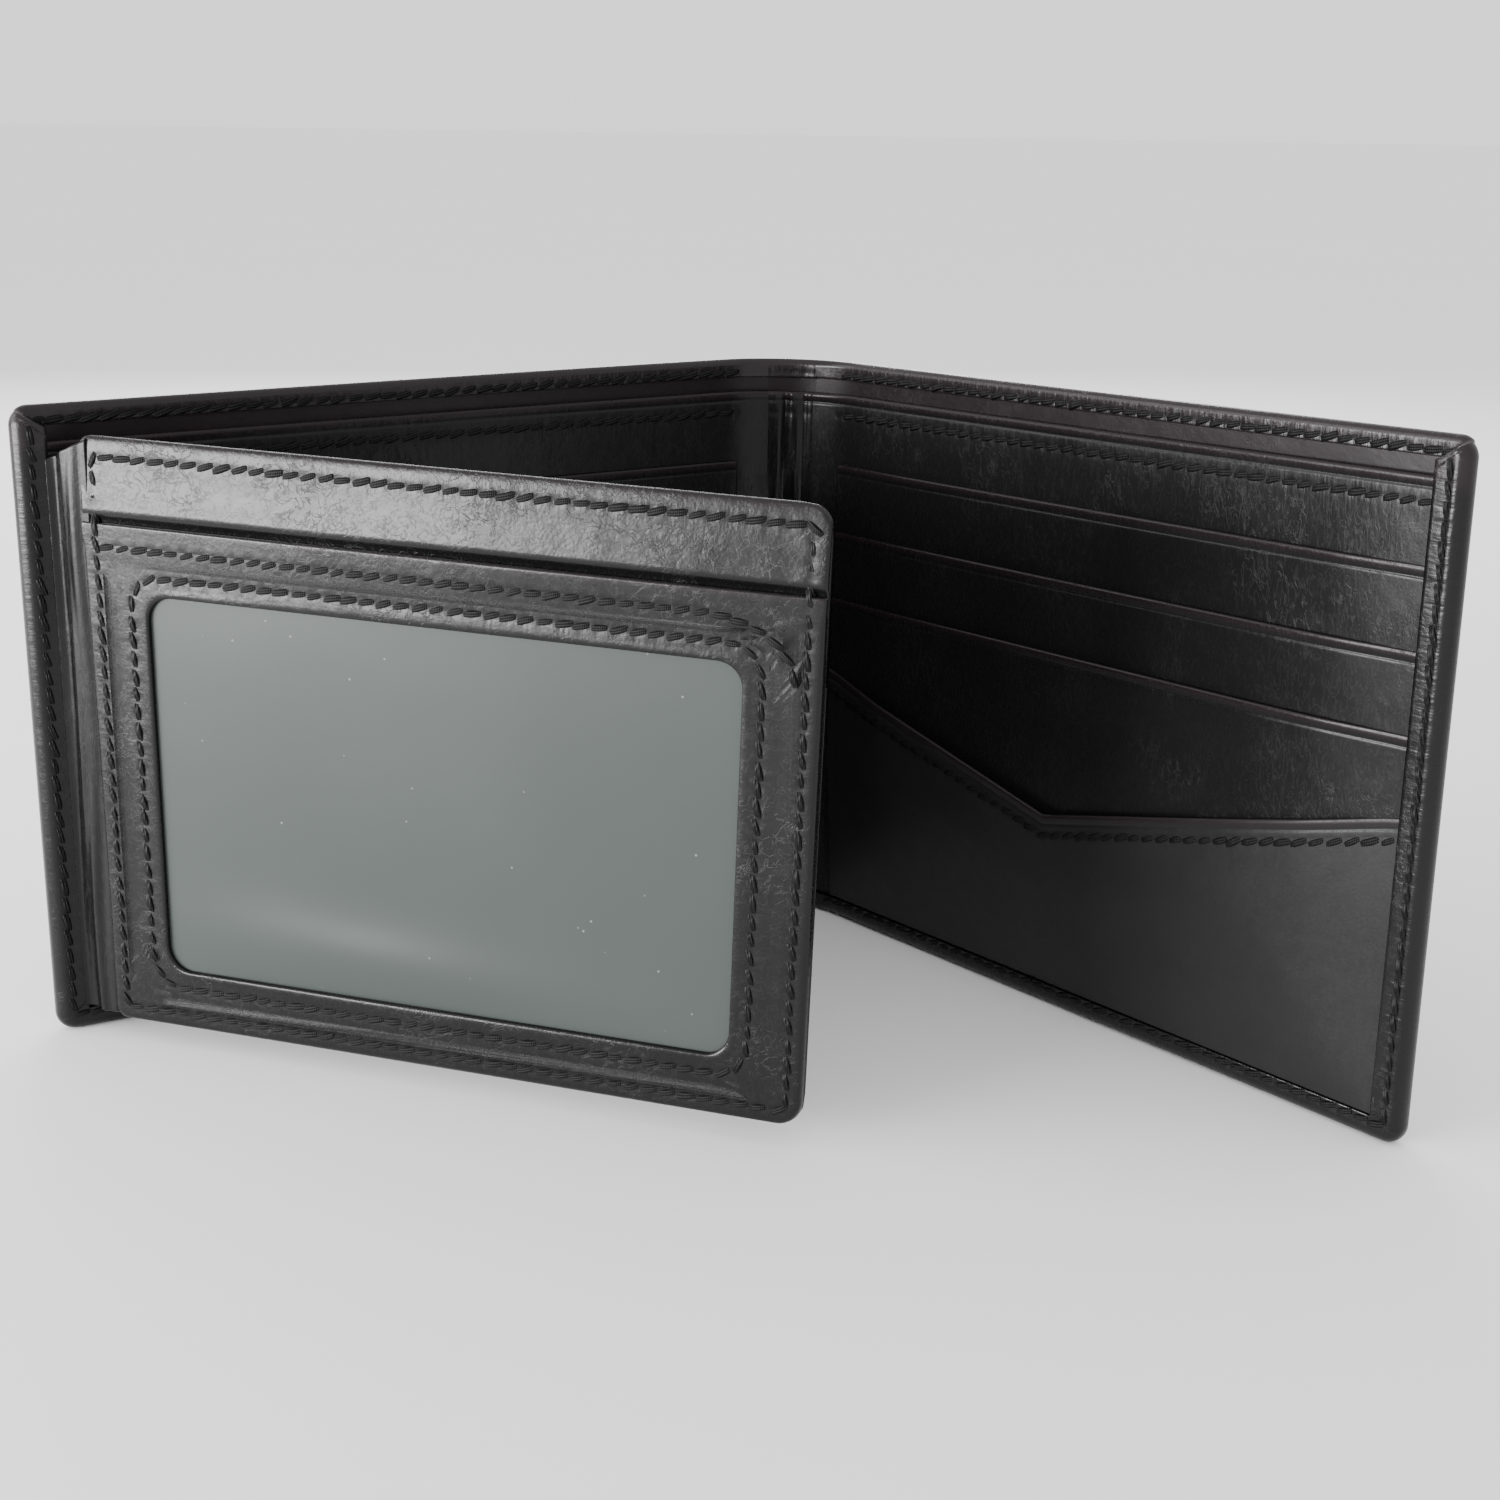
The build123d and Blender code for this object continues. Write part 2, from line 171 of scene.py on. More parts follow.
class Tree:
    """A node tree under construction."""

    def __init__(self, nodes: bpy.types.NodeTree) -> None:
        self.nodes = nodes

    def add(self, kind: str, settings: dict | None = None,
            sockets: dict | None = None) -> bpy.types.Node:
        """Add a node.

        Args:
            kind: the node's type.
            settings: properties set before its sockets.
            sockets: input name or index, and its value or link.

        Returns:
            The node.
        """
        made = self.nodes.nodes.new(kind)
        for name, value in (settings or {}).items():
            setattr(made, name, value)
        for name, value in (sockets or {}).items():
            if isinstance(value, Field):
                self.nodes.links.new(value.socket, made.inputs[name])
            else:
                made.inputs[name].default_value = value
        return made

    def node(self, kind: str, settings: dict | None = None, sockets: dict | None = None,
             output: str | int = 0) -> Field:
        """Add a node, as above, and take one of its outputs."""
        return Field(self, self.add(kind, settings, sockets).outputs[output])

    def mix(self, share: Field | float, first: tuple | Field, second: tuple | Field) -> Field:
        """Blend two colours."""
        return self.node("ShaderNodeMix", {"data_type": "RGBA"}, {0: share, 6: first, 7: second}, 2)

    def scaled(self, vector: Field, factors: tuple[float, float, float]) -> Field:
        """Multiply a vector part by part."""
        return self.node("ShaderNodeVectorMath", {"operation": "MULTIPLY"},
                         {0: vector, 1: factors})

    def split(self, vector: Field) -> tuple[Field, ...]:
        """The three parts of a vector."""
        return tuple(Field(self, part)
                     for part in self.add("ShaderNodeSeparateXYZ", {}, {0: vector}).outputs)

    def panel(self) -> Field:
        """Place on the leather as it was cut, in millimetres."""
        return self.scaled(self.node("ShaderNodeUVMap", {"uv_map": "panel"}),
                           (PANEL_UNIT, PANEL_UNIT, 0.0))

    def noise(self, place: Field, scale: float, **shape: float) -> Field:
        """Soft noise, with any other input of the node by its name in lower case."""
        values = {"Vector": place, "Scale": scale}
        values.update({name.title(): value for name, value in shape.items()})
        return self.node("ShaderNodeTexNoise", {}, values, "Fac")

    def bump(self, height: Field) -> Field:
        """Normal of a surface with a height in millimetres."""
        return self.node("ShaderNodeBump", {}, {"Height": height, "Strength": 1.0,
                                                "Distance": MM}, "Normal")

    def finish(self, **inputs: "Field | tuple | float") -> None:
        """Join a shader to the material's output, its inputs by name with _ for a space."""
        values = {name.replace("_", " "): value for name, value in inputs.items()}
        surface = self.node("ShaderNodeBsdfPrincipled", {}, values)
        self.add("ShaderNodeOutputMaterial", {}, {"Surface": surface})


def new_material(name: str) -> tuple[bpy.types.Material, Tree]:
    """Make an empty node material.

    Args:
        name: the material's name.

    Returns:
        The material and its tree.
    """
    made = bpy.data.materials.new(name)
    made.use_nodes = True
    made.node_tree.nodes.clear()
    return made, Tree(made.node_tree)


def grey(value: float) -> tuple[float, float, float, float]:
    """A neutral grey."""
    return (value, value, value, 1.0)


@dataclass(frozen=True)
class LeatherFinish:
    """Polished black leather with a fine grain, sewing puckers, and a painted highlight on its
    rolled edges and lips.

    Heights and lengths of the relief are in millimetres.
    """

    name: str
    black: float = 0.004            # base colour
    # turned: purple-grey base colour of the painted highlight on rolled edges, lips and top bands
    turned: tuple[float, float, float, float] = (0.0115, 0.0082, 0.0092, 1.0)
    roughness: float = 0.21
    shine: float = 0.26             # specular level
    grain: float = 0.006
    wrinkle: float = 0.02
    crackle: float = 0.010
    swell: float = 0.10             # slow unevenness of the whole panel
    pleat: float = 0.09             # puckers across a seam
    pucker_reach: float = 1.9       # how far from a seam the puckers reach
    groove_width: float = 0.6
    groove_depth: float = 0.06
    stretch: tuple[float, float] = (1.0, 1.0)

    def build(self) -> bpy.types.Material:
        """Make the material.

        Returns:
            The leather material.
        """
        made, tree = new_material(self.name)
        place = tree.panel()
        run, off, edge = tree.split(tree.node("ShaderNodeAttribute", {"attribute_name": "seam"},
                                              output="Vector"))
        near, groove_and_painted_shade = off.bell(self.pucker_reach), off.bell(self.groove_width)
        fine = tree.node("ShaderNodeTexVoronoi", {"feature": "SMOOTH_F1"},
                         {"Vector": place, "Scale": 2.4, "Smoothness": 0.6}, "Distance")
        patches = tree.noise(place, 0.07, detail=3.0)
        bent = tree.noise(place, 0.35, detail=4.0)
        wide = tree.scaled(place, (*self.stretch, 1.0))
        creases = tree.noise(wide, 0.9, detail=5.0, roughness=0.62, distortion=0.5)
        cracks = tree.noise(wide, 0.55, detail=6.0, roughness=0.55, distortion=1.2)
        lines = 1.0 - abs(cracks - 0.5).ramp(0.0, 0.035)
        across = tree.node("ShaderNodeCombineXYZ", {}, {"X": run * 1.5, "Y": off * 0.30})
        pleats = tree.noise(across, 1.0, detail=3.0, distortion=0.3)
        patch = patches.ramp(0.45, 0.68)

        height = fine * self.grain
        height = height + creases * (self.wrinkle * (patch * 0.85 + 0.15))
        height = height - lines * (self.crackle * (patch * 0.9 + 0.1))
        height = height + patches * self.swell * 1.5 + bent * self.swell * 0.25
        height = height - groove_and_painted_shade * self.groove_depth + pleats * near * self.pleat
        height = height + run.wave(STITCH_PITCH) * off.bell(0.9) * 0.04

        dark = tree.mix(patches, grey(self.black * 0.8), grey(self.black * 1.25))
        # the edge share mixes in the painted highlight colour
        colour = tree.mix(edge.ramp(0.0, 1.0), dark, self.turned)
        rough = bent * 0.10 + patches * 0.10 + (self.roughness - 0.09) + lines * 0.10
        # along each seam: a real dip in the bump, and painted shade for the stitch holes in the base
        # colour
        tree.finish(Base_Color=tree.mix(groove_and_painted_shade * 0.55, colour, grey(0.002)),
                    Roughness=rough + near * 0.06, Normal=tree.bump(height), IOR=1.5,
                    Specular_IOR_Level=self.shine)
        return made


@dataclass(frozen=True)
class FilmFinish:
    """Clear vinyl over black leather: a faint haze, soft gloss and a few specks of dust."""

    thin: tuple[float, float, float, float] = (0.042, 0.049, 0.046, 1.0)
    thick: tuple[float, float, float, float] = (0.051, 0.060, 0.056, 1.0)
    dust: tuple[float, float, float, float] = (0.3, 0.31, 0.3, 1.0)
    slack_spot: tuple[float, float] = (42.0, 15.0)      # where the film is slackest
    slack_size: tuple[float, float] = (26.0, 5.5)

    def build(self) -> bpy.types.Material:
        """Make the material.

        Returns:
            The vinyl material.
        """
        made, tree = new_material("window_vinyl")
        place = tree.panel()
        cloud = tree.noise(place, 0.02, detail=2.0)
        grit = tree.node("ShaderNodeTexVoronoi", {}, {"Vector": place, "Scale": 0.30,
                                                      "Randomness": 1.0}, "Distance")
        weave = tree.noise(place, 6.0, detail=1.0)
        speck = 1.0 - grit.ramp(0.03, 0.055)
        across, up, _ = tree.split(place)
        (middle, low), (wide, tall) = self.slack_spot, self.slack_size
        slack = (up - low + (across - 40.0) * 0.05).bell(tall) * (across - middle).bell(wide)
        tree.finish(Base_Color=tree.mix(speck * 0.5, tree.mix(cloud, self.thin, self.thick),
                                        self.dust),
                    Roughness=cloud * 0.1 + 0.26,
                    Normal=tree.bump(cloud * 0.5 + weave * 0.0012 + slack * 0.95),
                    Specular_IOR_Level=0.2, IOR=1.5)
        return made


@dataclass(frozen=True)
class ThreadFinish:
    """Waxed black thread, with its two plies showing as fine ridges."""

    ply: float = 0.03
    shine: float = 0.14

    def build(self) -> bpy.types.Material:
        """Make the material.

        Returns:
            The thread material.
        """
        made, tree = new_material("waxed_thread")
        place = tree.node("ShaderNodeTexCoord", output="Object")
        plies = tree.node("ShaderNodeTexWave", {}, {"Vector": place, "Scale": 1400.0,
                                                    "Distortion": 1.0}, "Fac")
        fuzz = tree.noise(place, 900.0)
        tree.finish(Base_Color=tree.mix(fuzz, grey(0.002), grey(0.005)),
                    Normal=tree.bump(plies * self.ply), Roughness=fuzz * 0.2 + 0.36,
                    Specular_IOR_Level=self.shine)
        return made


@dataclass(frozen=True)
class FloorFinish:
    """Plain pale matt floor."""

    pale: tuple[float, float] = (0.93, 0.95)

    def build(self) -> bpy.types.Material:
        """Make the material.

        Returns:
            The floor material.
        """
        made, tree = new_material("pale_floor")
        mottle = tree.noise(tree.node("ShaderNodeTexCoord", output="Object"), 3.0)
        tree.finish(Base_Color=tree.mix(mottle, *map(grey, self.pale)), Roughness=0.9,
                    Specular_IOR_Level=0.1)
        return made


# ------------------------------------------------------------------ the wallet's plan
@dataclass
class Plan:
    """Where the leather goes: fold lines and the flap's hinge line, read from the joints."""

    joints: list[dict]
    height: float = 86.0
    length: float = 107.0
    facet: float = 7.75
    neutral: float = 1.0
    bend: float = 3.75          # length of leather in the bend, each side of a fold line
    headings: tuple[float, ...] = (49.5, 22.5, -4.5, -31.5)
    left_drop: float = 1.7      # the left half's free top corner slumps
    right_rise: float = 1.0
    flap_length: float = 98.8
    flap_height: float = 80.0
    flap_lift: float = 1.5      # rise of the flap's top at its hinge
    flap_droop: float = 2.3     # how much less it is at the free end
    flap_sway: tuple[float, float] = (-1.2, 2.4)    # of the free end's foot, and more at the top
    feet: dict[str, Array] = field(default_factory=dict)

    def __post_init__(self) -> None:
        """Read where each fold line and the hinge line stand."""
        for joint in self.joints:
            self.feet[joint["name"]] = np.array(joint["pos_m"][:2]) / MM

    def _line(self, along: Array) -> tuple[Array, Array]:
        """Plan position and heading, in radians, at a length along the leather."""
        folds = [self.feet[name] for name in ("fold_left", "fold_middle", "fold_right")]
        marks = (-self.facet, 0.0, self.facet)
        angles = np.radians(self.headings)
        spot = np.zeros(along.shape + (2,))
        angle = np.zeros(along.shape)
        bounds = [-np.inf, *marks, np.inf]
        for index in range(4):
            inside = (along >= bounds[index]) & (along < bounds[index + 1])
            anchor = min(max(index - 1, 0), 2)
            reach = (along - marks[anchor])[..., None]
            way = np.array([np.cos(angles[index]), np.sin(angles[index])])
            spot = np.where(inside[..., None], folds[anchor] + reach * way, spot)
            angle = np.where(inside, angles[index], angle)
        for index, mark in enumerate(marks):
            near = np.abs(along - mark) < self.bend
            share = np.clip((along - mark) / (2 * self.bend) + 0.5, 0.0, 1.0)
            start, end = angles[index], angles[index + 1]
            turn = start - end
            radius = self.bend / math.tan(turn / 2)
            entry = folds[index] - self.bend * np.array([math.cos(start), math.sin(start)])
            centre = entry + radius * np.array([math.sin(start), -math.cos(start)])
            now = start - turn * share
            arc = centre + radius * np.stack([-np.sin(now), np.cos(now)], -1)
            spot = np.where(near[..., None], arc, spot)
            angle = np.where(near, now, angle)
        return spot, angle

    def spine(self, along: Array, height: Array, depth: Array) -> Array:
        """Point on the wallet's leather.

        Args:
            along: length along the leather from the middle fold, to the right.
            height: height.
            depth: depth in from the outer face.

        Returns:
            Points in metres.
        """
        along, height, depth = np.broadcast_arrays(*(np.asarray(v, float)
                                                     for v in (along, height, depth)))
        spot, angle = self._line(along)
        inward = np.stack([np.sin(angle), -np.cos(angle)], -1)
        spot = spot + inward * (depth - self.neutral)[..., None]
        reach = np.clip((np.abs(along) - self.facet) / self.length, 0.0, 1.0)
        slump = np.where(along < 0, -self.left_drop, self.right_rise) * reach ** 1.15
        lifted = height * (1 + slump / self.height)
        return np.concatenate([spot, lifted[..., None]], -1) * MM

    def half(self, side: Side) -> Placing:
        """Placing function of one half, by u, height and depth."""
        return lambda u, z, depth: self.spine(side.value * (np.asarray(u, float) + self.facet),
                                              z, depth)

    def flap(self, x: Array, z: Array, front: Array) -> Array:
        """Point on the ID flap, by distance from its hinge, height and place to the front.

        The flap droops a little towards its free end.
        """
        x, z, front = np.broadcast_arrays(*(np.asarray(v, float) for v in (x, z, front)))
        hinge = self.feet["flap_swing"]
        reach, rise = x / self.flap_length, z / self.flap_height
        droop = rise * (self.flap_lift - self.flap_droop * reach)
        sway = reach * (self.flap_sway[0] + self.flap_sway[1] * rise)
        return np.stack([hinge[0] + x + sway, hinge[1] - front, z + droop], -1) * MM


# ------------------------------------------------------------------ leather sheets
def roll(distance: Array, radius: Array | float) -> Array:
    """How far a rounded edge has dropped, at a distance in from the edge."""
    inside = np.clip(distance, 0.0, radius)
    return radius - np.sqrt(np.maximum(radius ** 2 - (radius - inside) ** 2, 0.0))


def step(value: Array, low: float, high: float) -> Array:
    """Smooth rise from 0 at low to 1 at high."""
    share = np.clip((value - low) / (high - low), 0.0, 1.0)
    return share * share * (3 - 2 * share)


def grid_lines(low: float, high: float, pitch: float, marks: Sequence[float] = (),
               spread: Sequence[float] = (0.0, 0.12, 0.3, 0.6, 1.0)) -> Array:
    """Grid positions from low to high, closer together about the marks."""
    even = np.linspace(low, high, max(2, int(round((high - low) / pitch)) + 1))
    extra = [mark + way * gap for mark in marks for gap in spread for way in (-1, 1)]
    extra = [value for value in extra if low < value < high]
    keep = sorted(set(np.round(np.concatenate([even, extra]), 4)))
    closest = 0.045
    thinned = [keep[0]]
    for value in keep[1:]:
        if value - thinned[-1] > closest:
            thinned.append(value)
    thinned[-1] = high
    return np.array(thinned)


def seam_values(u: Array, z: Array, seams: Sequence[Path]) -> tuple[Array, Array]:
    """Length along, and distance from, the nearest seam."""
    run = np.zeros(u.shape)
    off = np.full(u.shape, 50.0)            # far from any seam
    for path in seams:
        travelled = 0.0
        for (x0, z0), (x1, z1) in zip(path, path[1:]):
            size = math.hypot(x1 - x0, z1 - z0)
            share = np.clip(((u - x0) * (x1 - x0) + (z - z0) * (z1 - z0)) / size ** 2, 0, 1)
            gap = np.hypot(u - x0 - share * (x1 - x0), z - z0 - share * (z1 - z0))
            nearer = gap < off
            off = np.where(nearer, gap, off)
            run = np.where(nearer, travelled + share * size, run)
            travelled += size
    return run, off


def bead(drop: Array, height: float, middle: float = 0.55, width: float = 0.45,
         crease: float = 1.35, crease_width: float = 0.22) -> Array:
    """A rounded bead along an edge and the crease under it, by distance from the edge."""
    return height * (np.exp(-((drop - middle) / width) ** 2)
                     - np.exp(-((drop - crease) / crease_width) ** 2))


def level(value: float) -> Depth:
    """A flat face at one depth."""
    return lambda u, z: np.full(u.shape, value)


def shell(name: str, surfaces: tuple[Array, Array], quads: Array, rim: Array, flat: Array,
          seam: Array, material: bpy.types.Material) -> bpy.types.Object:
    """Close two surfaces over one grid into a smooth piece.

    Args:
        name: the piece's name.
        surfaces: the front's and the rear's points over the grid, in metres.
        quads: the grid's faces, four point numbers each.
        rim: neighbouring points along the grid's edges, two point numbers each.
        flat: place of each point on the leather as cut, in millimetres, for the pattern.
        seam: run, distance and painted-highlight share of each point.
        material: its finish.

    Returns:
        The new object.
    """
    front, rear = (surface.reshape(-1, 3) for surface in surfaces)
    count = len(front)
    walls = np.concatenate([rim, rim[:, ::-1] + count], axis=1)
    faces = np.concatenate([quads, quads[:, ::-1] + count, walls])
    mesh = bpy.data.meshes.new(name)
    mesh.from_pydata(np.concatenate([front, rear]).tolist(), [], faces.tolist())
    flat, seam = np.tile(flat.reshape(-1, 2), (2, 1)), np.tile(seam.reshape(-1, 3), (2, 1))
    layer = mesh.uv_layers.new(name="panel")
    loops = np.zeros(len(mesh.loops), np.int32)
    mesh.loops.foreach_get("vertex_index", loops)
    layer.data.foreach_set("uv", (flat[loops] / PANEL_UNIT).astype(np.float32).ravel())
    values = mesh.attributes.new("seam", "FLOAT_VECTOR", "POINT")
    values.data.foreach_set("vector", seam.astype(np.float32).ravel())
    work = bmesh.new()
    work.from_mesh(mesh)
    bmesh.ops.remove_doubles(work, verts=work.verts, dist=2e-7)
    bmesh.ops.dissolve_degenerate(work, dist=1e-7, edges=work.edges)
    bmesh.ops.recalc_face_normals(work, faces=work.faces)
    for side in work.faces:
        side.smooth = True
    for edge in work.edges:
        edge.smooth = edge.calc_face_angle(0.0) < SHARP_ANGLE
    work.to_mesh(mesh)
    work.free()
    mesh.materials.append(material)
    return link(bpy.data.objects.new(name, mesh))


@dataclass
class Sheet:
    """A closed leather sheet over a grid, with rounded corners and rolled edges."""

    name: str
    place: Placing
    span: tuple[float, float]
    rise: tuple[float, float]
    face: Depth
    back: Depth
    material: bpy.types.Material
    rolled: str = "start end low high"
    roll_share: float = 0.47
    roll_most: float = 1.7
    corners: dict[str, float] = field(default_factory=dict)
    seams: Sequence[Path] = ()
    marks_u: Sequence[float] = ()
    marks_z: Sequence[float] = ()
    pitch: float = 1.6
    bend: Depth | None = None
    # share of the painted highlight colour at each place
    tint: Depth | None = None

    def _rounded(self, u: Array, z: Array) -> tuple[Array, Array]:
        """Pull the grid's corners round."""
        for name, radius in self.corners.items():
            level, end = name.split("_")
            cu = self.span[1] - radius if end == "end" else self.span[0] + radius
            cz = self.rise[1] - radius if level == "high" else self.rise[0] + radius
            du = (u - cu) * (1 if end == "end" else -1)
            dz = (z - cz) * (1 if level == "high" else -1)
            inside = (du > 0) & (dz > 0)
            size = np.where(inside, np.hypot(du, dz), 1.0)
            reach = np.maximum(du, dz)
            u = np.where(inside, cu + (u - cu) / size * reach, u)
            z = np.where(inside, cz + (z - cz) / size * reach, z)
        return u, z

    def _lines(self, limits: tuple[float, float], words: tuple[str, str],
               marks: Sequence[float]) -> Array:
        """Grid lines between two limits, close together at rolled edges and at marks."""
        edges = [limit for limit, word in zip(limits, words) if word in self.rolled.split()]
        lines = np.unique(np.concatenate([
            grid_lines(*limits, self.pitch, edges, EDGE_SPREAD),
            grid_lines(*limits, self.pitch, marks)]))
        return lines[np.concatenate([[True], np.diff(lines) > 0.02])]

    def _inward(self, u: Array, z: Array) -> Array:
        """Distance in from the nearest rolled edge."""
        away = {"start": u - self.span[0], "end": self.span[1] - u,
                "low": z - self.rise[0], "high": self.rise[1] - z}
        return np.minimum.reduce([away[word] for word in self.rolled.split()])

    def build(self) -> bpy.types.Object:
        """Make the sheet.

        Returns:
            The new object.
        """
        raw_u, raw_z = np.meshgrid(self._lines(self.span, ("start", "end"), self.marks_u),
                                   self._lines(self.rise, ("low", "high"), self.marks_z),
                                   indexing="ij")
        u, z = self._rounded(raw_u, raw_z)
        face, back = self.face(u, z), self.back(u, z)
        radius = np.minimum(np.abs(face - back) * self.roll_share, self.roll_most)
        drop = roll(self._inward(raw_u, raw_z), radius) * np.sign(face - back)
        tint = self.tint(u, z) if self.tint else np.zeros(u.shape)
        flat, seam = np.stack([u, z], -1), np.stack([*seam_values(u, z, self.seams), tint], -1)
        if self.bend:
            z = self.bend(u, z)
        surfaces = self.place(u, z, face - drop), self.place(u, z, back + drop)
        number = np.arange(u.size).reshape(u.shape)
        quads = np.stack([number[:-1, :-1], number[1:, :-1], number[1:, 1:], number[:-1, 1:]], -1)
        rim = np.concatenate([number[:, 0], number[-1, 1:], number[-2::-1, -1],
                              number[0, -2:0:-1]])
        return shell(self.name, surfaces, quads.reshape(-1, 4),
                     np.stack([rim, np.roll(rim, -1)], -1), flat, seam, self.material)


# ------------------------------------------------------------------ sewing
class Sewing:
    """Thread laid along paths on the leather, made with Geometry Nodes."""

    def __init__(self, material: bpy.types.Material) -> None:
        self.material = material
        self.group, self.sockets = self._tree()

    def _tree(self) -> tuple[bpy.types.GeometryNodeTree, dict[str, str]]:
        """Build the tree that lays stitches along a path.

        Returns:
            The tree, and each input's identifier by name.
        """
        group = bpy.data.node_groups.new("thread_along_path", "GeometryNodeTree")
        face = group.interface
        face.new_socket("Geometry", in_out="INPUT", socket_type="NodeSocketGeometry")
        sizes = {"Pitch": STITCH_PITCH * MM, "Stitch Length": 0.0022, "Thread Radius": 0.00027,
                 "Arch": 0.00019, "Slant": 0.00026, "Unevenness": 0.12}
        ids = {}
        for name, value in sizes.items():
            made = face.new_socket(name, in_out="INPUT", socket_type="NodeSocketFloat")
            made.default_value = value
            ids[name] = made.identifier
        made = face.new_socket("Seed", in_out="INPUT", socket_type="NodeSocketInt")
        made.default_value = 7
        ids["Seed"] = made.identifier
        face.new_socket("Geometry", in_out="OUTPUT", socket_type="NodeSocketGeometry")
        tree = Tree(group)
        entry = tree.add("NodeGroupInput")
        given = {socket.name: Field(tree, socket) for socket in entry.outputs if socket.name}

        curve = tree.node("GeometryNodeMeshToCurve", {}, {"Mesh": given["Geometry"]})
        spots = tree.add("GeometryNodeCurveToPoints", {"mode": "LENGTH"},
                         {"Curve": curve, "Length": given["Pitch"]})
        facing = tree.node("GeometryNodeInputNamedAttribute", {"data_type": "FLOAT_VECTOR"},
                           {"Name": "facing"})
        turned = tree.node("FunctionNodeAxesToRotation",
                           {"primary_axis": "X", "secondary_axis": "Z"},
                           {"Primary Axis": Field(tree, spots.outputs["Tangent"]),
                            "Secondary Axis": facing})
        wobble = tree.node("FunctionNodeRandomValue", {"data_type": "FLOAT_VECTOR"},
                           {0: (-0.16, -0.08, -0.12), 1: (0.16, 0.08, 0.12),
                            "Seed": given["Seed"]})
        wobble_turn = tree.node("FunctionNodeEulerToRotation", {}, {0: wobble})
        turned = tree.node("FunctionNodeRotateRotation", {"rotation_space": "LOCAL"},
                           {0: turned, 1: wobble_turn})

        half, radius = given["Stitch Length"] * 0.5, given["Thread Radius"]
        strands = []
        for way in (1.0, -1.0):
            aside = radius * (0.55 * way)
            ends = [tree.node("ShaderNodeCombineXYZ", {}, {
                "X": half * end, "Y": given["Slant"] * end + aside, "Z": radius * -0.9})
                for end in (-1.0, 1.0)]
            middle = tree.node("ShaderNodeCombineXYZ", {}, {
                "X": 0.0, "Y": aside, "Z": given["Arch"] * 2.0})
            strands.append(tree.node("GeometryNodeCurveQuadraticBezier", {}, {
                "Resolution": 5, "Start": ends[0], "Middle": middle, "End": ends[1]}))
        both = tree.add("GeometryNodeJoinGeometry")
        for strand in reversed(strands):
            group.links.new(strand.socket, both.inputs[0])
        ring = tree.node("GeometryNodeCurvePrimitiveCircle", {}, {
            "Resolution": 6, "Radius": radius})
        thread = tree.node("GeometryNodeCurveToMesh", {}, {
            "Curve": Field(tree, both.outputs[0]), "Profile Curve": ring, "Fill Caps": True})
        size = tree.node("FunctionNodeRandomValue", {"data_type": "FLOAT"}, {
            2: 1.0 - given["Unevenness"], 3: 1.0 + given["Unevenness"], "Seed": given["Seed"]},
            output=1)
        laid = tree.node("GeometryNodeInstanceOnPoints", {}, {
            "Points": Field(tree, spots.outputs["Points"]), "Instance": thread,
            "Rotation": turned, "Scale": size})
        solid = tree.node("GeometryNodeRealizeInstances", {}, {0: laid})
        dressed = tree.node("GeometryNodeSetMaterial", {}, {"Geometry": solid,
                                                            "Material": self.material})
        tree.add("NodeGroupOutput", {}, {0: dressed})
        return group, ids

    def sew(self, name: str, rows: Sequence[tuple[Path, Placing, Depth | float, int]],
            seed: int) -> bpy.types.Object:
        """Lay rows of stitches.

        Args:
            name: the piece's name.
            rows: path on the panel, placing function, depth or a function of place that
                gives it, and +1 where the thread shows on the side of larger depth.
            seed: seed of the unevenness.

        Returns:
            One mesh of separate stitches.
        """
        points, edges, facing = [], [], []
        for path, place, depth, way in rows:
            dense = []
            for (x0, z0), (x1, z1) in zip(path, path[1:]):
                count = max(2, int(math.hypot(x1 - x0, z1 - z0) / PATH_STEP))
                for index in range(count):
                    share = index / count
                    dense.append((x0 + (x1 - x0) * share, z0 + (z1 - z0) * share))
            dense.append(path[-1])
            u, z = np.array(dense).T
            depths = depth(u, z) if callable(depth) else np.full(u.shape, depth)
            spots = place(u, z, depths)
            outward = place(u, z, depths + 0.1 * way) - spots
            outward /= np.linalg.norm(outward, axis=1)[:, None]
            first = len(points)
            points += spots.tolist()
            facing += outward.tolist()
            edges += [(first + i, first + i + 1) for i in range(len(dense) - 1)]
        path_mesh = bpy.data.meshes.new(name + "_path")
        path_mesh.from_pydata(points, edges, [])
        values = path_mesh.attributes.new("facing", "FLOAT_VECTOR", "POINT")
        values.data.foreach_set("vector", np.array(facing, np.float32).ravel())
        guide = link(bpy.data.objects.new(name + "_path", path_mesh))
        layer = guide.modifiers.new("stitches", "NODES")
        layer.node_group = self.group
        layer[self.sockets["Seed"]] = seed
        graph = bpy.context.evaluated_depsgraph_get()
        mesh = bpy.data.meshes.new_from_object(guide.evaluated_get(graph))
        mesh.name = name
        made = link(bpy.data.objects.new(name, mesh))
        bpy.data.objects.remove(guide)
        mesh.shade_smooth()
        if not mesh.materials:
            mesh.materials.append(self.material)
        return made


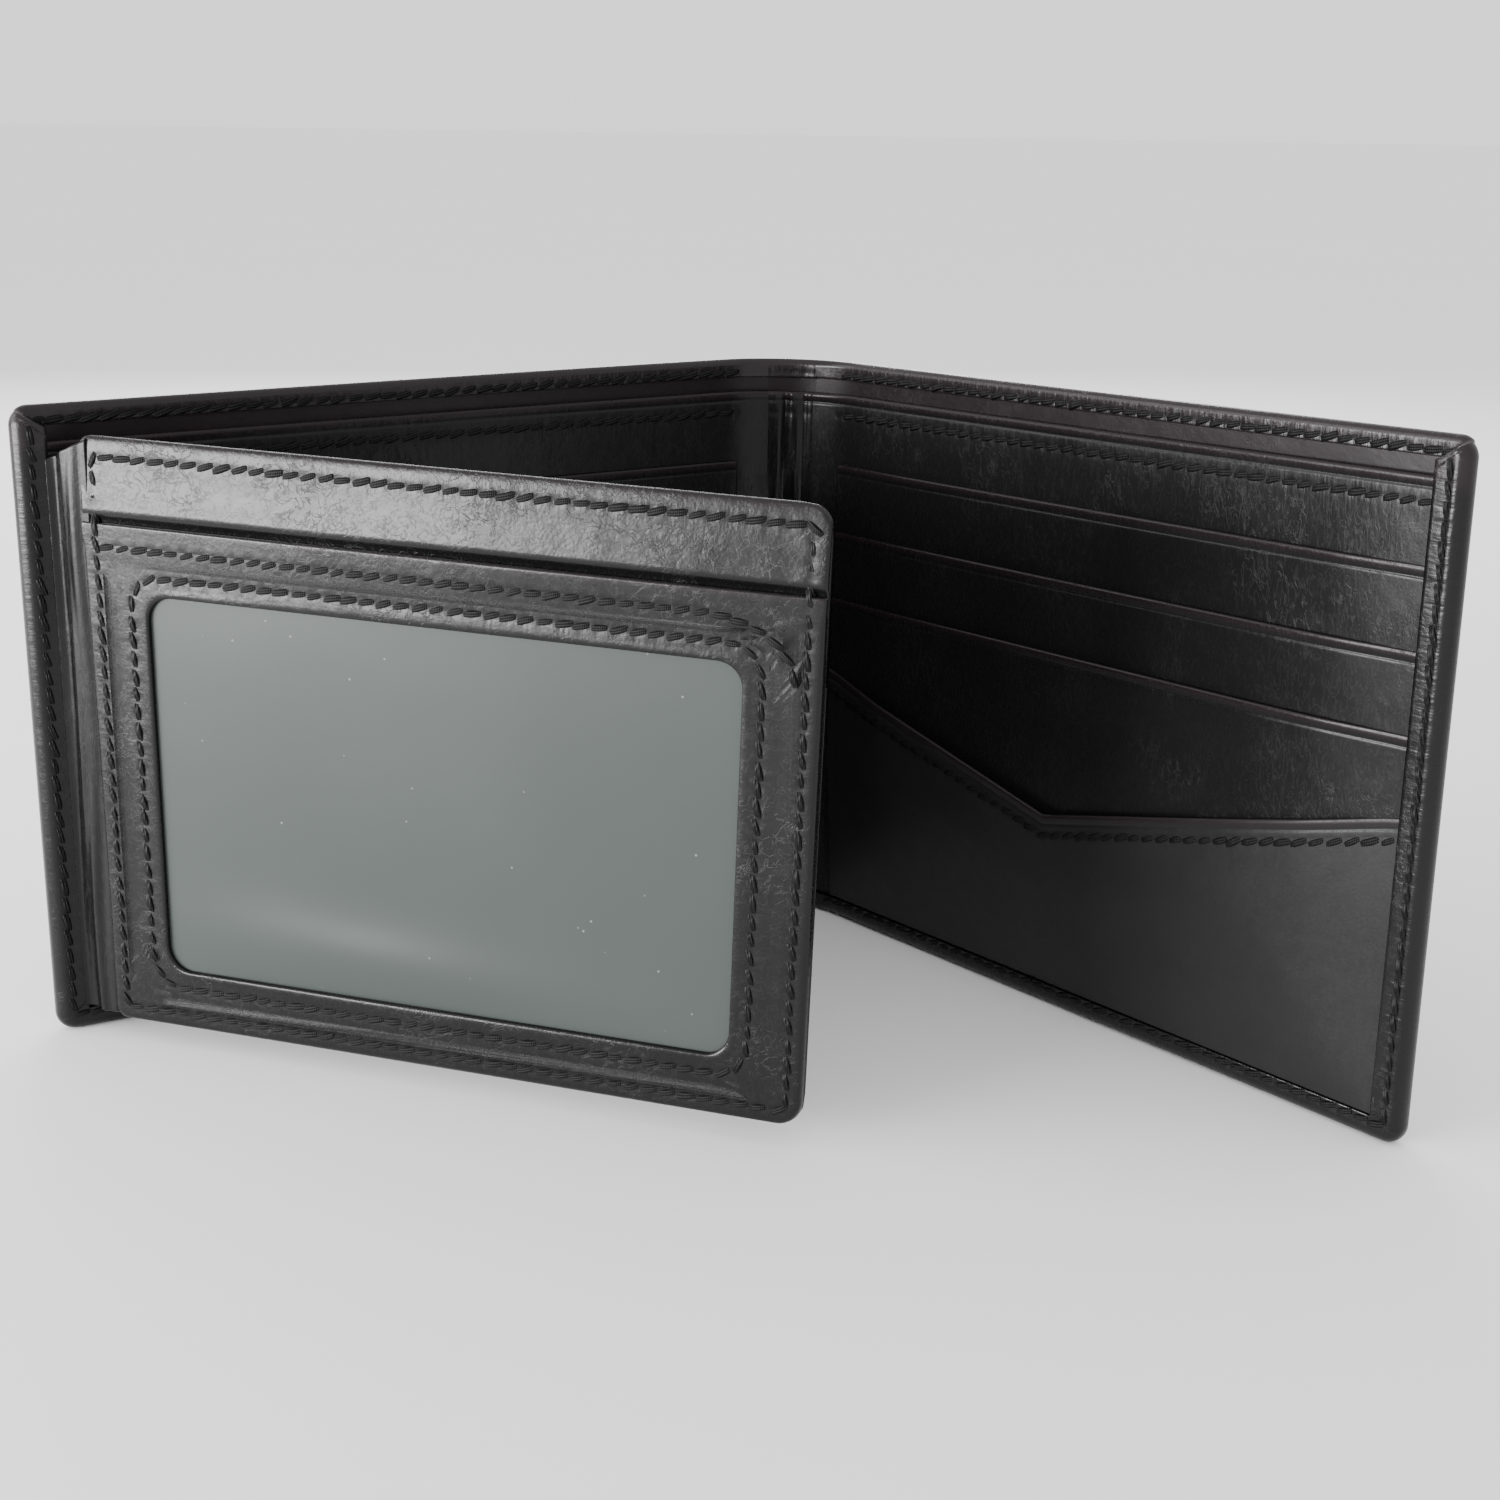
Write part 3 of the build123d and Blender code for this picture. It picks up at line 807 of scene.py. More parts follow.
# ------------------------------------------------------------------ the wallet's parts
@dataclass
class Finishes:
    """Every finish of the wallet."""

    cover: bpy.types.Material
    pocket: bpy.types.Material
    notched: bpy.types.Material
    flap: bpy.types.Material
    gusset: bpy.types.Material
    lining: bpy.types.Material
    film: bpy.types.Material
    thread: bpy.types.Material

    @classmethod
    def make(cls) -> "Finishes":
        """Make the set."""
        return cls(
            cover=LeatherFinish("cover_leather", wrinkle=0.032, crackle=0.016,
                                stretch=(1.0, 0.6)).build(),
            pocket=LeatherFinish("pocket_leather", black=0.0068, roughness=0.24, wrinkle=0.050,
                                 shine=0.16, pleat=0.07, crackle=0.018,
                                 stretch=(1.6, 0.55)).build(),
            # copy of the pocket leather with a raised base colour: painted light on the V pocket
            notched=LeatherFinish("notched_pocket_leather", black=0.010, roughness=0.36,
                                  shine=0.20, wrinkle=0.008, crackle=0.002, pleat=0.03,
                                  stretch=(1.6, 0.55)).build(),
            flap=LeatherFinish("flap_leather", wrinkle=0.048, crackle=0.016, grain=0.009,
                               swell=0.11, pleat=0.04).build(),
            gusset=LeatherFinish("gusset_leather", wrinkle=0.06, stretch=(1.4, 0.22),
                                 roughness=0.25, pleat=0.0, shine=0.20).build(),
            lining=LeatherFinish("lining_leather", black=0.003, roughness=0.34, shine=0.18,
                                 # turned: colour of the lining's painted highlight towards its top
                                 turned=(0.0090, 0.0064, 0.0072, 1.0)).build(),
            film=FilmFinish().build(),
            thread=ThreadFinish().build())


def stand_in(piece: bpy.types.Object, nodes: Sequence[str]) -> bpy.types.Object:
    """Hide the CAD nodes a piece stands for, and log its face count."""
    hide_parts(*nodes)
    LOG.info("%s: %d faces", piece.name, len(piece.data.polygons))
    return piece


@dataclass
class Half:
    """One half of the wallet: cover with its turned edges, lining, divider and pockets."""

    plan: Plan
    side: Side
    finishes: Finishes
    sewing: Sewing
    side_hem: float = 4.3
    bottom_hem: float = 3.2
    top_hem: float = 2.8
    hem_lip: float = 0.3            # rounding of a turned edge
    cover_face: float = 0.95        # depth of the cover's inner face
    stack: float = 3.3              # depth of the edge turned over the pockets
    top_stack: float = 1.8          # and of the edge turned over the lining alone
    corner: float = 2.6
    end_seam: float = 2.1
    low_seam: float = 2.4
    top_seam: float = 2.0
    lining_depths: tuple[float, float] = (1.32, 0.98)
    divider_top: float = 81.3
    divider_back: float = 2.1
    divider_seam: float = 3.1       # below the divider's top
    pocket_tops: tuple[float, ...] = (71.0, 61.0, 51.0)
    low_pocket_top: float = 41.0
    pocket_depth: float = 2.7       # depth of the divider's face, which the pockets lie on
    pocket_end: float = 103.4
    lip_lift: float = 0.45          # how far the middle of a lip stands off
    card_drop: float = 47.0
    leather: float = 0.5
    pressed: float = 0.78           # share of the stack lost under the turned edges

    @property
    def place(self) -> Placing:
        """Placing function of this half."""
        return self.plan.half(self.side)

    @property
    def cover_marks(self) -> Sequence[float]:
        """Heights where the cover's surface turns or is sewn."""
        high = self.plan.height
        return self.bottom_hem, high - self.top_hem, self.low_seam, high - self.top_seam

    @property
    def divider_marks(self) -> Sequence[float]:
        """Heights of the divider's bead, crease and seam."""
        return tuple(self.divider_top - drop for drop in (0.6, 1.35, self.divider_seam))

    def cover_tint(self, u: Array, z: Array) -> Array:
        """Painted highlight on the cover towards its top."""
        return step(z, self.plan.height - 7.0, self.plan.height - 4.0) * 0.9

    def lining_tint(self, u: Array, z: Array) -> Array:
        """Painted highlight that pales the lining towards its top."""
        return step(z, self.plan.height - 12, self.plan.height - 5)

    def divider_tint(self, u: Array, z: Array) -> Array:
        """Painted highlight on the divider's bead."""
        return step(z, self.divider_top - 1.4, self.divider_top - 0.5)

    def divider_face(self, u: Array, z: Array) -> Array:
        """Inner face of the divider, with a bead along the top and a crease under it."""
        return self.pocket_depth + bead(self.divider_top - z, 0.10)

    def inner_face(self, u: Array, z: Array) -> Array:
        """Depth of the cover's inner face, with its turned edges."""
        end, top, low = self.plan.length - u, self.plan.height - z, z

        def turned(distance: Array, width: float, depth: float) -> Array:
            """An edge turned over to a depth."""
            return np.where(distance < width, depth - roll(width - distance, self.hem_lip),
                            self.cover_face)

        side = turned(end, self.side_hem, self.stack)
        over = turned(top, self.top_hem, self.top_stack)
        across = top / self.top_hem - end / self.side_hem
        mitre = step(across, -0.12, 0.12)
        crease = np.where((top < self.top_hem) & (end < self.side_hem),
                          0.16 * np.exp(-(across / 0.07) ** 2), 0.0)
        hem = np.where(top < self.top_hem, side * mitre + over * (1 - mitre), side)
        hem = np.maximum(hem, turned(low, self.bottom_hem, self.stack)) - crease
        return hem + 0.12 * np.exp(-((end - 1.3) / 0.8) ** 2) * (z > 2)

    def seams(self) -> list[Path]:
        """Sewn lines round the cover."""
        end = self.plan.length - self.end_seam
        high, low = self.plan.height - self.top_seam, self.low_seam
        return [[(2.0, high), (end - 1.2, high)], [(end, high - 1.6), (end, low + 1.4)],
                [(end - 1.0, low), (2.0, low)]]

    def _bent(self, sheet: Sheet, slot: str, *nodes: str) -> None:
        """Build a sheet that runs on into the spine and bends at this half's fold line."""
        made = stand_in(sheet.build(), [f"{self.side.word}_{node}" for node in nodes])
        spots = self.place(np.array([FOLD_REACH, -FOLD_REACH]), np.full(2, FOLD_HEIGHT),
                           np.full(2, self.plan.neutral))
        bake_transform(made)

    def _carried(self, made: bpy.types.Object, slot: str, node: str) -> None:
        """Let a piece ride on this half."""
        stand_in(made, [f"{self.side.word}_{node}"])
        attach(made, self.side.half)

    def make_cover(self) -> None:
        """Cover with its edges turned over the stack, as far as the middle of the strip."""
        plan, length = self.plan, self.plan.length
        cover = Sheet(
            f"{self.side.word}_cover_leather", self.place, (-plan.facet / 2, length),
            (0.0, plan.height), self.inner_face, level(0.0), self.finishes.cover,
            rolled="end low high", corners={"low_end": self.corner, "high_end": self.corner},
            seams=self.seams(), marks_z=self.cover_marks, pitch=1.4,
            marks_u=(length - self.side_hem, length - self.end_seam, -2.0, 0.0, 2.0),
            # painted highlight towards the top and along the rolled free end
            tint=lambda u, z: self.cover_tint(u, z) + step(u, length - 0.9, length) * 0.3)
        self._bent(cover, "leather", "cover", "side_hem", "bottom_hem", "top_hem")

    def make_inside(self) -> None:
        """Lining and bill divider."""
        plan, word = self.plan, self.side.word
        lining = Sheet(
            f"{word}_lining_leather", self.place, (-plan.facet / 2, plan.length - 1.2),
            (1.0, plan.height - 1.4), *map(level, self.lining_depths), self.finishes.lining,
            rolled="high", pitch=3.0, tint=self.lining_tint)
        self._bent(lining, "lining", "lining")

        end, height = plan.length - self.side_hem + 0.6, self.divider_top - self.divider_seam
        seam = [(1.0, height), (end - 1.4, height)]
        divider = Sheet(
            f"{word}_divider_leather", self.place, (-plan.facet / 2, end),
            (0.6, self.divider_top), self.divider_face, level(self.divider_back),
            self.finishes.pocket, rolled="high", seams=[seam], marks_u=(-2.0, 0.0, 2.0),
            marks_z=self.divider_marks, pitch=2.0, tint=self.divider_tint)
        self._bent(divider, "leather", "bill_divider")
        self._sew_edges(seam)

    def _sew_edges(self, divider_seam: Path) -> None:
        """Thread round the cover, inside and out, and along the divider."""
        top, end, low = self.seams()
        rows = [(top, self.place, self.top_stack, 1), (end, self.place, self.stack + 0.05, 1),
                (low, self.place, self.stack, 1)]
        rows += [(path, self.place, 0.0, -1) for path in (top, end, low)]
        word = self.side.word
        self._carried(self.sewing.sew(f"{word}_edge_thread", rows, 11), "thread",
                      "edge_stitching")
        row = ([(3.5, divider_seam[0][1]), divider_seam[1]], self.place, self.pocket_depth, 1)
        self._carried(self.sewing.sew(f"{word}_divider_thread", [row], 5), "thread",
                      "divider_stitching")

    def _layer(self, index: int) -> float:
        """Depth at the back of a pocket, counted from the top one."""
        return self.pocket_depth + self.leather * index

    def _aside(self, u: Array, end: float) -> Array:
        """How far a pocket has gone under the side's turned edge, from 0 to 1."""
        return np.clip((u - end + 24.0) / 23.0, 0.0, 1.0) ** 1.4

    def make_pockets(self) -> None:
        """The straight card pockets."""
        for index, top in enumerate(self.pocket_tops):
            low = max(self.bottom_hem + 0.1, top - self.card_drop)
            pocket = self._pocket(f"{self.side.word}_card_pocket_leather_{index + 1}", top,
                                  self._layer(index), self.pocket_end, self.lip_lift, low,
                                  self.finishes.pocket)
            self._carried(pocket, "leather", f"card_pocket_{index + 1}")

    def _pocket(self, name: str, top: float, back: float, end: float, lift: float,
                low: float, finish: bpy.types.Material, seams: Sequence[Path] = (),
                bend: Depth | None = None, fall: float = 9.0) -> bpy.types.Object:
        """One pocket: a beaded lip that stands off a little, and a crease under the bead.

        Args:
            name: the piece's name.
            top: height of the lip.
            back: depth of the leather behind it.
            end: how far along the half it reaches.
            lift: how far the middle of the lip stands off.
            low: height of the bottom edge.
            finish: its leather.
            seams: sewn lines on it.
            bend: height of each place once a cut edge has pulled it down.
            fall: height over which the lip's lift dies out.

        Returns:
            The pocket.
        """
        start = (back + self.leather - self.plan.neutral) * math.tan(math.radians(30)) + 0.3

        def stack(z: Array, u: Array, depth: float) -> Array:
            """Depth in the stack, pressed thinner where it runs under the turned edges."""
            below = 1 - np.clip((z - 3.4) / 26.0, 0.0, 1.0) ** 0.8
            press = 1 - self.pressed * np.maximum(self._aside(u, end), below)
            return self.pocket_depth + (depth - self.pocket_depth) * press

        def stand(u: Array, z: Array) -> Array:
            """How far the lip stands off."""
            inside = step(u, start + 1.0, start + 14.0) * (1 - step(u, end - 14.0, end - 1.0))
            return lift * inside * np.clip((z - top + fall) / fall, 0.0, 1.0) ** 1.3

        return Sheet(
            name, self.place, (start, end), (low, top),
            lambda u, z: stack(z, u, back + self.leather - 0.02) + stand(u, z)
            + bead(top - z, 0.09, 0.5, 0.4, 1.35, 0.2),
            lambda u, z: stack(z, u, back + 0.02) + stand(u, z), finish, rolled="start high",
            marks_z=(top - 0.55, top - 1.35), pitch=2.0, seams=seams, bend=bend,
            # painted highlight along the lip's bead
            tint=lambda u, z: step(z, top - 1.3, top - 0.4)).build()


@dataclass
class LeftHalf(Half):
    """The left half, whose pockets stop short of the flap's hinge leather."""

    pocket_end: float = 100.1
    lip_lift: float = 0.12
    low_lift: float = 0.1

    def make_bottom_pocket(self) -> None:
        """The lowest pocket, which is straight."""
        pocket = self._pocket("left_bottom_pocket_leather", self.low_pocket_top, self._layer(3),
                              self.pocket_end, self.low_lift, self.bottom_hem + 0.1,
                              self.finishes.pocket)
        self._carried(pocket, "leather", "bottom_pocket")


@dataclass
class RightHalf(Half):
    """The right half, whose lowest pocket has a wide V cut in its top edge."""

    notch: tuple[float, float, float] = (40.3, 28.6, 41.1)
    notch_u: float = 48.8
    notch_seam: float = 2.95        # below the cut edge
    notch_lift: float = 1.2

    def edge_height(self, u: Array) -> Array:
        """Height of the V edge."""
        return np.interp(u, [1.9, self.notch_u, self.plan.length - self.side_hem], self.notch)

    def make_notched_pocket(self) -> None:
        """The V pocket and the thread along its edge."""
        end = self.plan.length - self.side_hem + 0.3
        top, low = self.low_pocket_top, self.bottom_hem + 0.1
        back = self._layer(len(self.pocket_tops))

        def bend(u: Array, z: Array) -> Array:
            """Pull the straight top edge down to the V."""
            share = np.clip((z - low) / (top - low), 0.0, 1.0)
            return z - (top - self.edge_height(u)) * (1 - (1 - share) ** 2)

        def depth(u: Array, z: Array) -> Array:
            """Depth of the thread, which follows the pocket where it stands off."""
            stack = (back + self.leather - self.pocket_depth) \
                * (1 - self.pressed * self._aside(u, end))
            lift = 1.07 * step(u, 3.3, 16.3) * (1 - step(u, end - 14.0, end - 1.0))
            return self.pocket_depth + stack + lift

        pocket = self._pocket("right_notched_pocket_leather", top, back, end, self.notch_lift,
                              low, self.finishes.notched, [[(1.0, top - 2.9), (end, top - 2.9)]],
                              bend, fall=36.0)
        self._carried(pocket, "leather", "notched_pocket")
        path = [(u, float(self.edge_height(np.array(u))) - self.notch_seam)
                for u in (3.0, self.notch_u, end - 1.4)]
        thread = self.sewing.sew("right_notch_thread", [(path, self.place, depth, 1)], 3)
        self._carried(thread, "thread", "notch_stitching")


@dataclass
class Spine:
    """The soft spine's leather between the middles of its two strips."""

    plan: Plan
    finishes: Finishes
    half: Half
    seam_reach: float = 9.0

    def make(self) -> None:
        """Cover, lining and divider across the middle fold."""
        plan, half = self.plan, self.half
        reach, high, top = plan.facet / 2, plan.height, half.divider_top

        def gathers(s: Array, z: Array) -> Array:
            """Soft upright folds that die out at the ends of the piece."""
            inside = np.clip(1 - (s / reach) ** 2, 0.0, 1.0)
            return inside * (0.34 * np.sin(s * 1.9 + 0.7 * np.sin(z * 0.075) + 0.6)
                             + 0.15 * np.sin(s * 3.9 - z * 0.05 + np.sin(z * 0.13)) + 0.12)

        def sewn(*heights: float) -> list[Path]:
            """Level seams that run on from the halves."""
            return [[(-self.seam_reach, z), (self.seam_reach, z)] for z in heights]

        # each sheet takes the half's painted highlight at the top band and on the divider's bead
        cover = Sheet("spine_cover_leather", plan.spine, (-reach, reach), (0.0, high),
                      lambda s, z: half.inner_face(np.full(s.shape, 20.0), z), level(0.0),
                      self.finishes.cover, rolled="low high", marks_z=half.cover_marks,
                      seams=sewn(high - half.top_seam, half.low_seam), pitch=1.0,
                      tint=half.cover_tint)
        lining = Sheet("spine_lining_leather", plan.spine, (-reach, reach), (1.0, high - 1.4),
                       *map(level, half.lining_depths), self.finishes.lining, rolled="high",
                       pitch=1.5, tint=half.lining_tint)
        divider = Sheet("spine_divider_leather", plan.spine, (-reach, reach), (0.6, top),
                        lambda s, z: half.divider_face(s, z) + gathers(s, z),
                        lambda s, z: half.divider_back + gathers(s, z), self.finishes.gusset,
                        rolled="high", marks_z=half.divider_marks, pitch=0.5,
                        seams=sewn(top - half.divider_seam), tint=half.divider_tint)
        start, stop = (Vector(plan.spine(way * FOLD_REACH, FOLD_HEIGHT, plan.neutral))
                       for way in (-1, 1))
        for sheet, slot, nodes in ((cover, "leather", ("cover", "top_hem")),
                                   (lining, "lining", ("lining",)),
                                   (divider, "leather", ("bill_divider",))):
            names = [f"spine_{side}_{node}" for side in ("left", "right") for node in nodes]
            made = stand_in(sheet.build(), names)
            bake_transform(made)


@dataclass
class IdFlap:
    """The ID flap: back, top panel, window frame, film and rear pocket, and its gusset."""

    plan: Plan
    finishes: Finishes
    sewing: Sewing
    start: float = 1.2
    low: float = 2.8
    high: float = 79.6
    free_radius: float = 3.0
    hinge_radius: float = 1.5
    slot: float = 69.0              # height of the slot's lip
    panel_low: float = 62.4         # the top panel reaches down behind the lip
    back_depth: float = -0.66
    pocket_top: float = 58.0
    window: tuple[float, float, float, float] = (10.2, 89.2, 10.8, 60.3)
    window_radius: float = 3.2
    frame_width: float = 8.5
    film_margin: float = 1.2
    inset: float = 2.0              # seam from the flap's edge
    top_inset: float = 2.5
    lip_seam: float = 3.0           # seam below the lip
    lip_turn: tuple[float, float] = (11.5, 7.0)

    @property
    def end(self) -> float:
        """Free edge."""
        return self.plan.flap_length

    def _corners(self, *levels: str) -> dict[str, float]:
        """Corner radii at the levels named."""
        ends = {"end": self.free_radius, "start": self.hinge_radius}
        return {f"{level}_{end}": radius for level in levels for end, radius in ends.items()}

    def _frame_seams(self) -> list[Path]:
        """Sewn lines on the window frame: round the flap, along the lip and round the window."""
        a, b = self.start + self.inset, self.end - self.inset
        low, lip = self.low + self.inset, self.slot - self.lip_seam
        outer = [(a, self.slot - 0.4), (a, low), (b, low), (b, self.slot - 0.4)]
        turn = b - 13.0
        curve = [(a + 1.5, lip), (turn, lip)]
        curve += [(turn + self.lip_turn[0] * math.sin(t), lip - self.lip_turn[1] * (1 - math.cos(t)))
                  for t in np.radians([15, 30, 45, 60, 75, 88])]
        x0, x1, z0, z1 = self.window
        gap, radius = 2.4, 4.2
        ring = rounded_loop((x0 - gap, x1 + gap, z0 - gap, z1 + gap), (radius,) * 4, 8, 4)
        return [outer, curve, [tuple(p) for p in ring] + [tuple(ring[0])]]

    def _top_seam(self) -> Path:
        """Sewn line round the top panel."""
        a, b = self.start + self.inset, self.end - self.inset
        top = self.high - self.top_inset
        return [(a, self.slot + 0.6), (a, top), (b, top), (b, self.slot + 0.6)]

    def _bow(self, x: Array, z: Array) -> Array:
        """How far the slot's lip stands off, most towards the free end."""
        reach = np.clip((x - self.start) / (self.end - self.start), 0, 1)
        return step(z, self.slot - 6.0, self.slot) * (0.16 + 0.42 * reach ** 1.5) \
            * np.sin(reach * math.pi) ** 0.4

    def _carried(self, made: bpy.types.Object, slot: str, *nodes: str) -> None:
        """Let a piece ride on the flap."""
        stand_in(made, nodes)
        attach(made, "flap")

    def make_back(self) -> None:
        """Back leather and the slip pocket behind it."""
        outer, top = self._frame_seams()[0], self.pocket_top
        back = Sheet("flap_back_leather", self.plan.flap, (self.start, self.end),
                     (self.low, self.high), level(0.0), level(self.back_depth),
                     self.finishes.cover, corners=self._corners("low", "high"),
                     seams=[outer, self._top_seam()], pitch=2.0).build()
        self._carried(back, "leather", "flap_back")
        pocket = Sheet("flap_rear_pocket_leather", self.plan.flap, (self.start + 0.1, self.end),
                       (self.low, top), level(self.back_depth + 0.04),
                       lambda u, z: -1.1 - bead(top - z, 0.08, 0.6, 0.4, 1.4, 0.2),
                       self.finishes.cover, corners=self._corners("low"), seams=[outer],
                       marks_z=(top - 0.6, top - 1.4), pitch=2.0).build()
        self._carried(pocket, "leather", "flap_rear_pocket")

    def make_top_panel(self) -> None:
        """Panel above the slot, held down by the lip and swelling between its seams."""
        top, slot = self.high, self.slot

        def face(x: Array, z: Array) -> Array:
            """Front of the panel."""
            reach = np.clip((z - slot) / (top - self.top_inset - slot), 0.0, 1.0)
            belly = 0.52 * (1 - reach) * step(z, slot + 0.15, slot + 1.5)
            share = np.clip((z - top + 2.6) / 2.6, 0.0, 1.0)
            rim = 0.42 * (1 - np.sqrt(np.maximum(1 - share ** 2, 0.0)))
            return 0.42 + 0.2 * step(z, slot, slot + 1.5) + belly - rim

        panel = Sheet("flap_top_panel_leather", self.plan.flap, (self.start, self.end),
                      (self.panel_low, top), face, level(0.02), self.finishes.flap,
                      corners=self._corners("high"), roll_most=0.8, seams=[self._top_seam()],
                      marks_z=(top - 0.6, top - 1.4, top - self.top_inset, slot + 0.8),
                      marks_u=(self.start + 2, self.end - 2), pitch=1.2,
                      # painted highlight along the top rim
                      tint=lambda x, z: step(z, top - 1.6, top - 0.8) * 0.5).build()
        self._carried(panel, "leather", "flap_top_panel")

    def make_frame(self) -> None:
        """Window frame with its slot lip, and edges turned down to the back leather."""
        outer = rounded_loop((self.start, self.end, self.low, self.slot),
                             (self.hinge_radius, self.free_radius, 0.25, 0.25), 70, 8)
        inner = rounded_loop(self.window, (self.window_radius,) * 4, 70, 8)
        gaps = np.linalg.norm(outer - inner, axis=1)
        from_window = np.array([0.0, 0.06, 0.16, 0.32, 0.6, 0.95, 1.5, 2.0, 2.4, 2.8, 3.4, 4.2])
        from_edge = np.array([2.6, 2.0, 1.5, 0.95, 0.6, 0.34, 0.18, 0.07, 0.0])
        w = np.unique(np.round(np.concatenate([from_window / self.frame_width,
                                               1 - from_edge / self.frame_width]), 4))[:, None]
        spots = inner[None] * (1 - w[..., None]) + outer[None] * w[..., None]
        x, z = spots[..., 0], spots[..., 1]
        inside, outside = w * gaps[None], (1 - w) * gaps[None]
        lip, bow = step(z, self.slot - 6.0, self.slot), self._bow(x, z)
        face = 1.1 + bow + 0.08 * np.exp(-((inside - 0.9) / 0.6) ** 2)
        front = face - roll(inside, 0.34) - roll(outside, np.where(lip > 0.6, 0.3, 0.85))
        behind_lip = z > self.slot - 7.0
        rear = np.where(outside < 3.0, 0.03, 0.46)
        rear = np.where(behind_lip, 0.62 + bow, np.where(inside < 3.0, 0.50, rear))
        number = np.arange(x.size).reshape(x.shape)
        around = np.roll(number, -1, axis=1)
        quads = np.stack([number[:-1], around[:-1], around[1:], number[1:]], -1).reshape(-1, 4)
        rim = np.concatenate([np.stack([number[row], around[row]], -1) for row in (0, -1)])
        # painted highlight along the slot's lip
        tint = step(z, self.slot - 1.3, self.slot - 0.4) * 0.6
        made = shell("id_window_frame_leather",
                     (self.plan.flap(x, z, front),
                      self.plan.flap(x, z, np.minimum(rear, front - 0.02))), quads, rim,
                     np.stack([x, z], -1),
                     np.stack([*seam_values(x, z, self._frame_seams()), tint], -1),
                     self.finishes.flap)
        self._carried(made, "leather", "id_window_frame", "flap_hinge_edge", "flap_free_edge",
                      "flap_bottom_edge")

    def make_film(self) -> None:
        """Clear film behind the window."""
        x0, x1, z0, z1 = self.window
        margin = self.film_margin

        def wave(x: Array, z: Array) -> Array:
            """Slight slackness of the film."""
            dish = np.sin(np.clip((x - x0) / (x1 - x0), 0, 1) * math.pi)
            return 0.42 + 0.10 * dish * np.sin((z - z0) / (z1 - z0) * math.pi)

        film = Sheet("id_window_film_vinyl", self.plan.flap, (x0 - margin, x1 + margin),
                     (z0 - margin, z1 + margin), wave, lambda x, z: wave(x, z) - 0.2,
                     self.finishes.film, pitch=2.0).build()
        self._carried(film, "window_film", "id_window_film")

    def sew(self) -> None:
        """Thread round the flap, along the lip and round the window."""
        flap, top = self.plan.flap, self._top_seam()
        outer, lip, ring = self._frame_seams()
        rows = [(outer, flap, 1.08, 1), (top, flap, 0.66, 1),
                (outer, flap, -0.95, -1), (top, flap, -0.62, -1)]
        thread = self.sewing.sew("flap_edge_thread", rows, 21)
        self._carried(thread, "thread", "flap_edge_stitching")
        rows = [(path, flap, lambda x, z: 1.08 + self._bow(x, z), 1) for path in (lip, ring)]
        thread = self.sewing.sew("id_window_thread", rows, 9)
        self._carried(thread, "thread", "id_window_stitching")

    def make_gusset(self, left: Half) -> None:
        """Soft hinge leather from the left side hem round to the flap's hinge edge."""
        anchor = left.place(np.array([103.3, 102.5, 101.6]), np.zeros(3),
                            np.array([2.95, 3.45, 4.6])) / MM
        hinge = self.plan.feet["flap_swing"]
        ends = np.array([[hinge[0] - 0.2, hinge[1] - 0.35], [hinge[0] + 1.2, hinge[1] - 0.75],
                         [hinge[0] + 2.6, hinge[1] - 0.55]])
        knots = np.concatenate([anchor[:, :2], ends])
        reach = np.concatenate([[0], np.cumsum(np.linalg.norm(np.diff(knots, axis=0), axis=1))])
        total = reach[-1]

        def centre(s: Array) -> Array:
            """Smoothed plan line of the gusset."""
            spread = np.array([-0.6, -0.3, 0.0, 0.3, 0.6])
            weights = np.array([1, 3, 4, 3, 1]) / 12
            out = 0.0
            for gap, weight in zip(spread, weights):
                at = np.clip(s + gap, 0, total)
                out = out + weight * np.stack([np.interp(at, reach, knots[:, 0]),
                                               np.interp(at, reach, knots[:, 1])], -1)
            return out

        def place(s: Array, z: Array, depth: Array) -> Array:
            """Point on the gusset, crumpled into fine upright folds."""
            ahead = centre(s + 0.05) - centre(s - 0.05)
            ahead /= np.linalg.norm(ahead, axis=-1)[..., None]
            normal = np.stack([-ahead[..., 1], ahead[..., 0]], -1)
            middle = np.sin(np.clip(s / total, 0, 1) * math.pi)
            crumple = 0.42 * middle * np.sin(s * 1.15 + 0.7 * np.sin(z * 0.07) + z * 0.012)
            crumple += 0.13 * middle * np.sin(s * 2.9 - z * 0.06 + 1.3 * np.sin(z * 0.11))
            spot = centre(s) + normal * (depth + crumple)[..., None]
            rise = z + 1.5 * z / 80 * np.clip(s / total, 0, 1) \
                - left.plan.left_drop * z / 86 * np.clip(1 - s / total, 0, 1)
            return np.concatenate([spot, rise[..., None]], -1) * MM

        gusset = Sheet("flap_hinge_gusset_leather", place, (0.0, total), (3.4, 79.2),
                       level(0.36), level(-0.36), self.finishes.gusset,
                       pitch=0.35).build()
        stand_in(gusset, ["flap_hinge_gusset"])
        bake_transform(gusset)


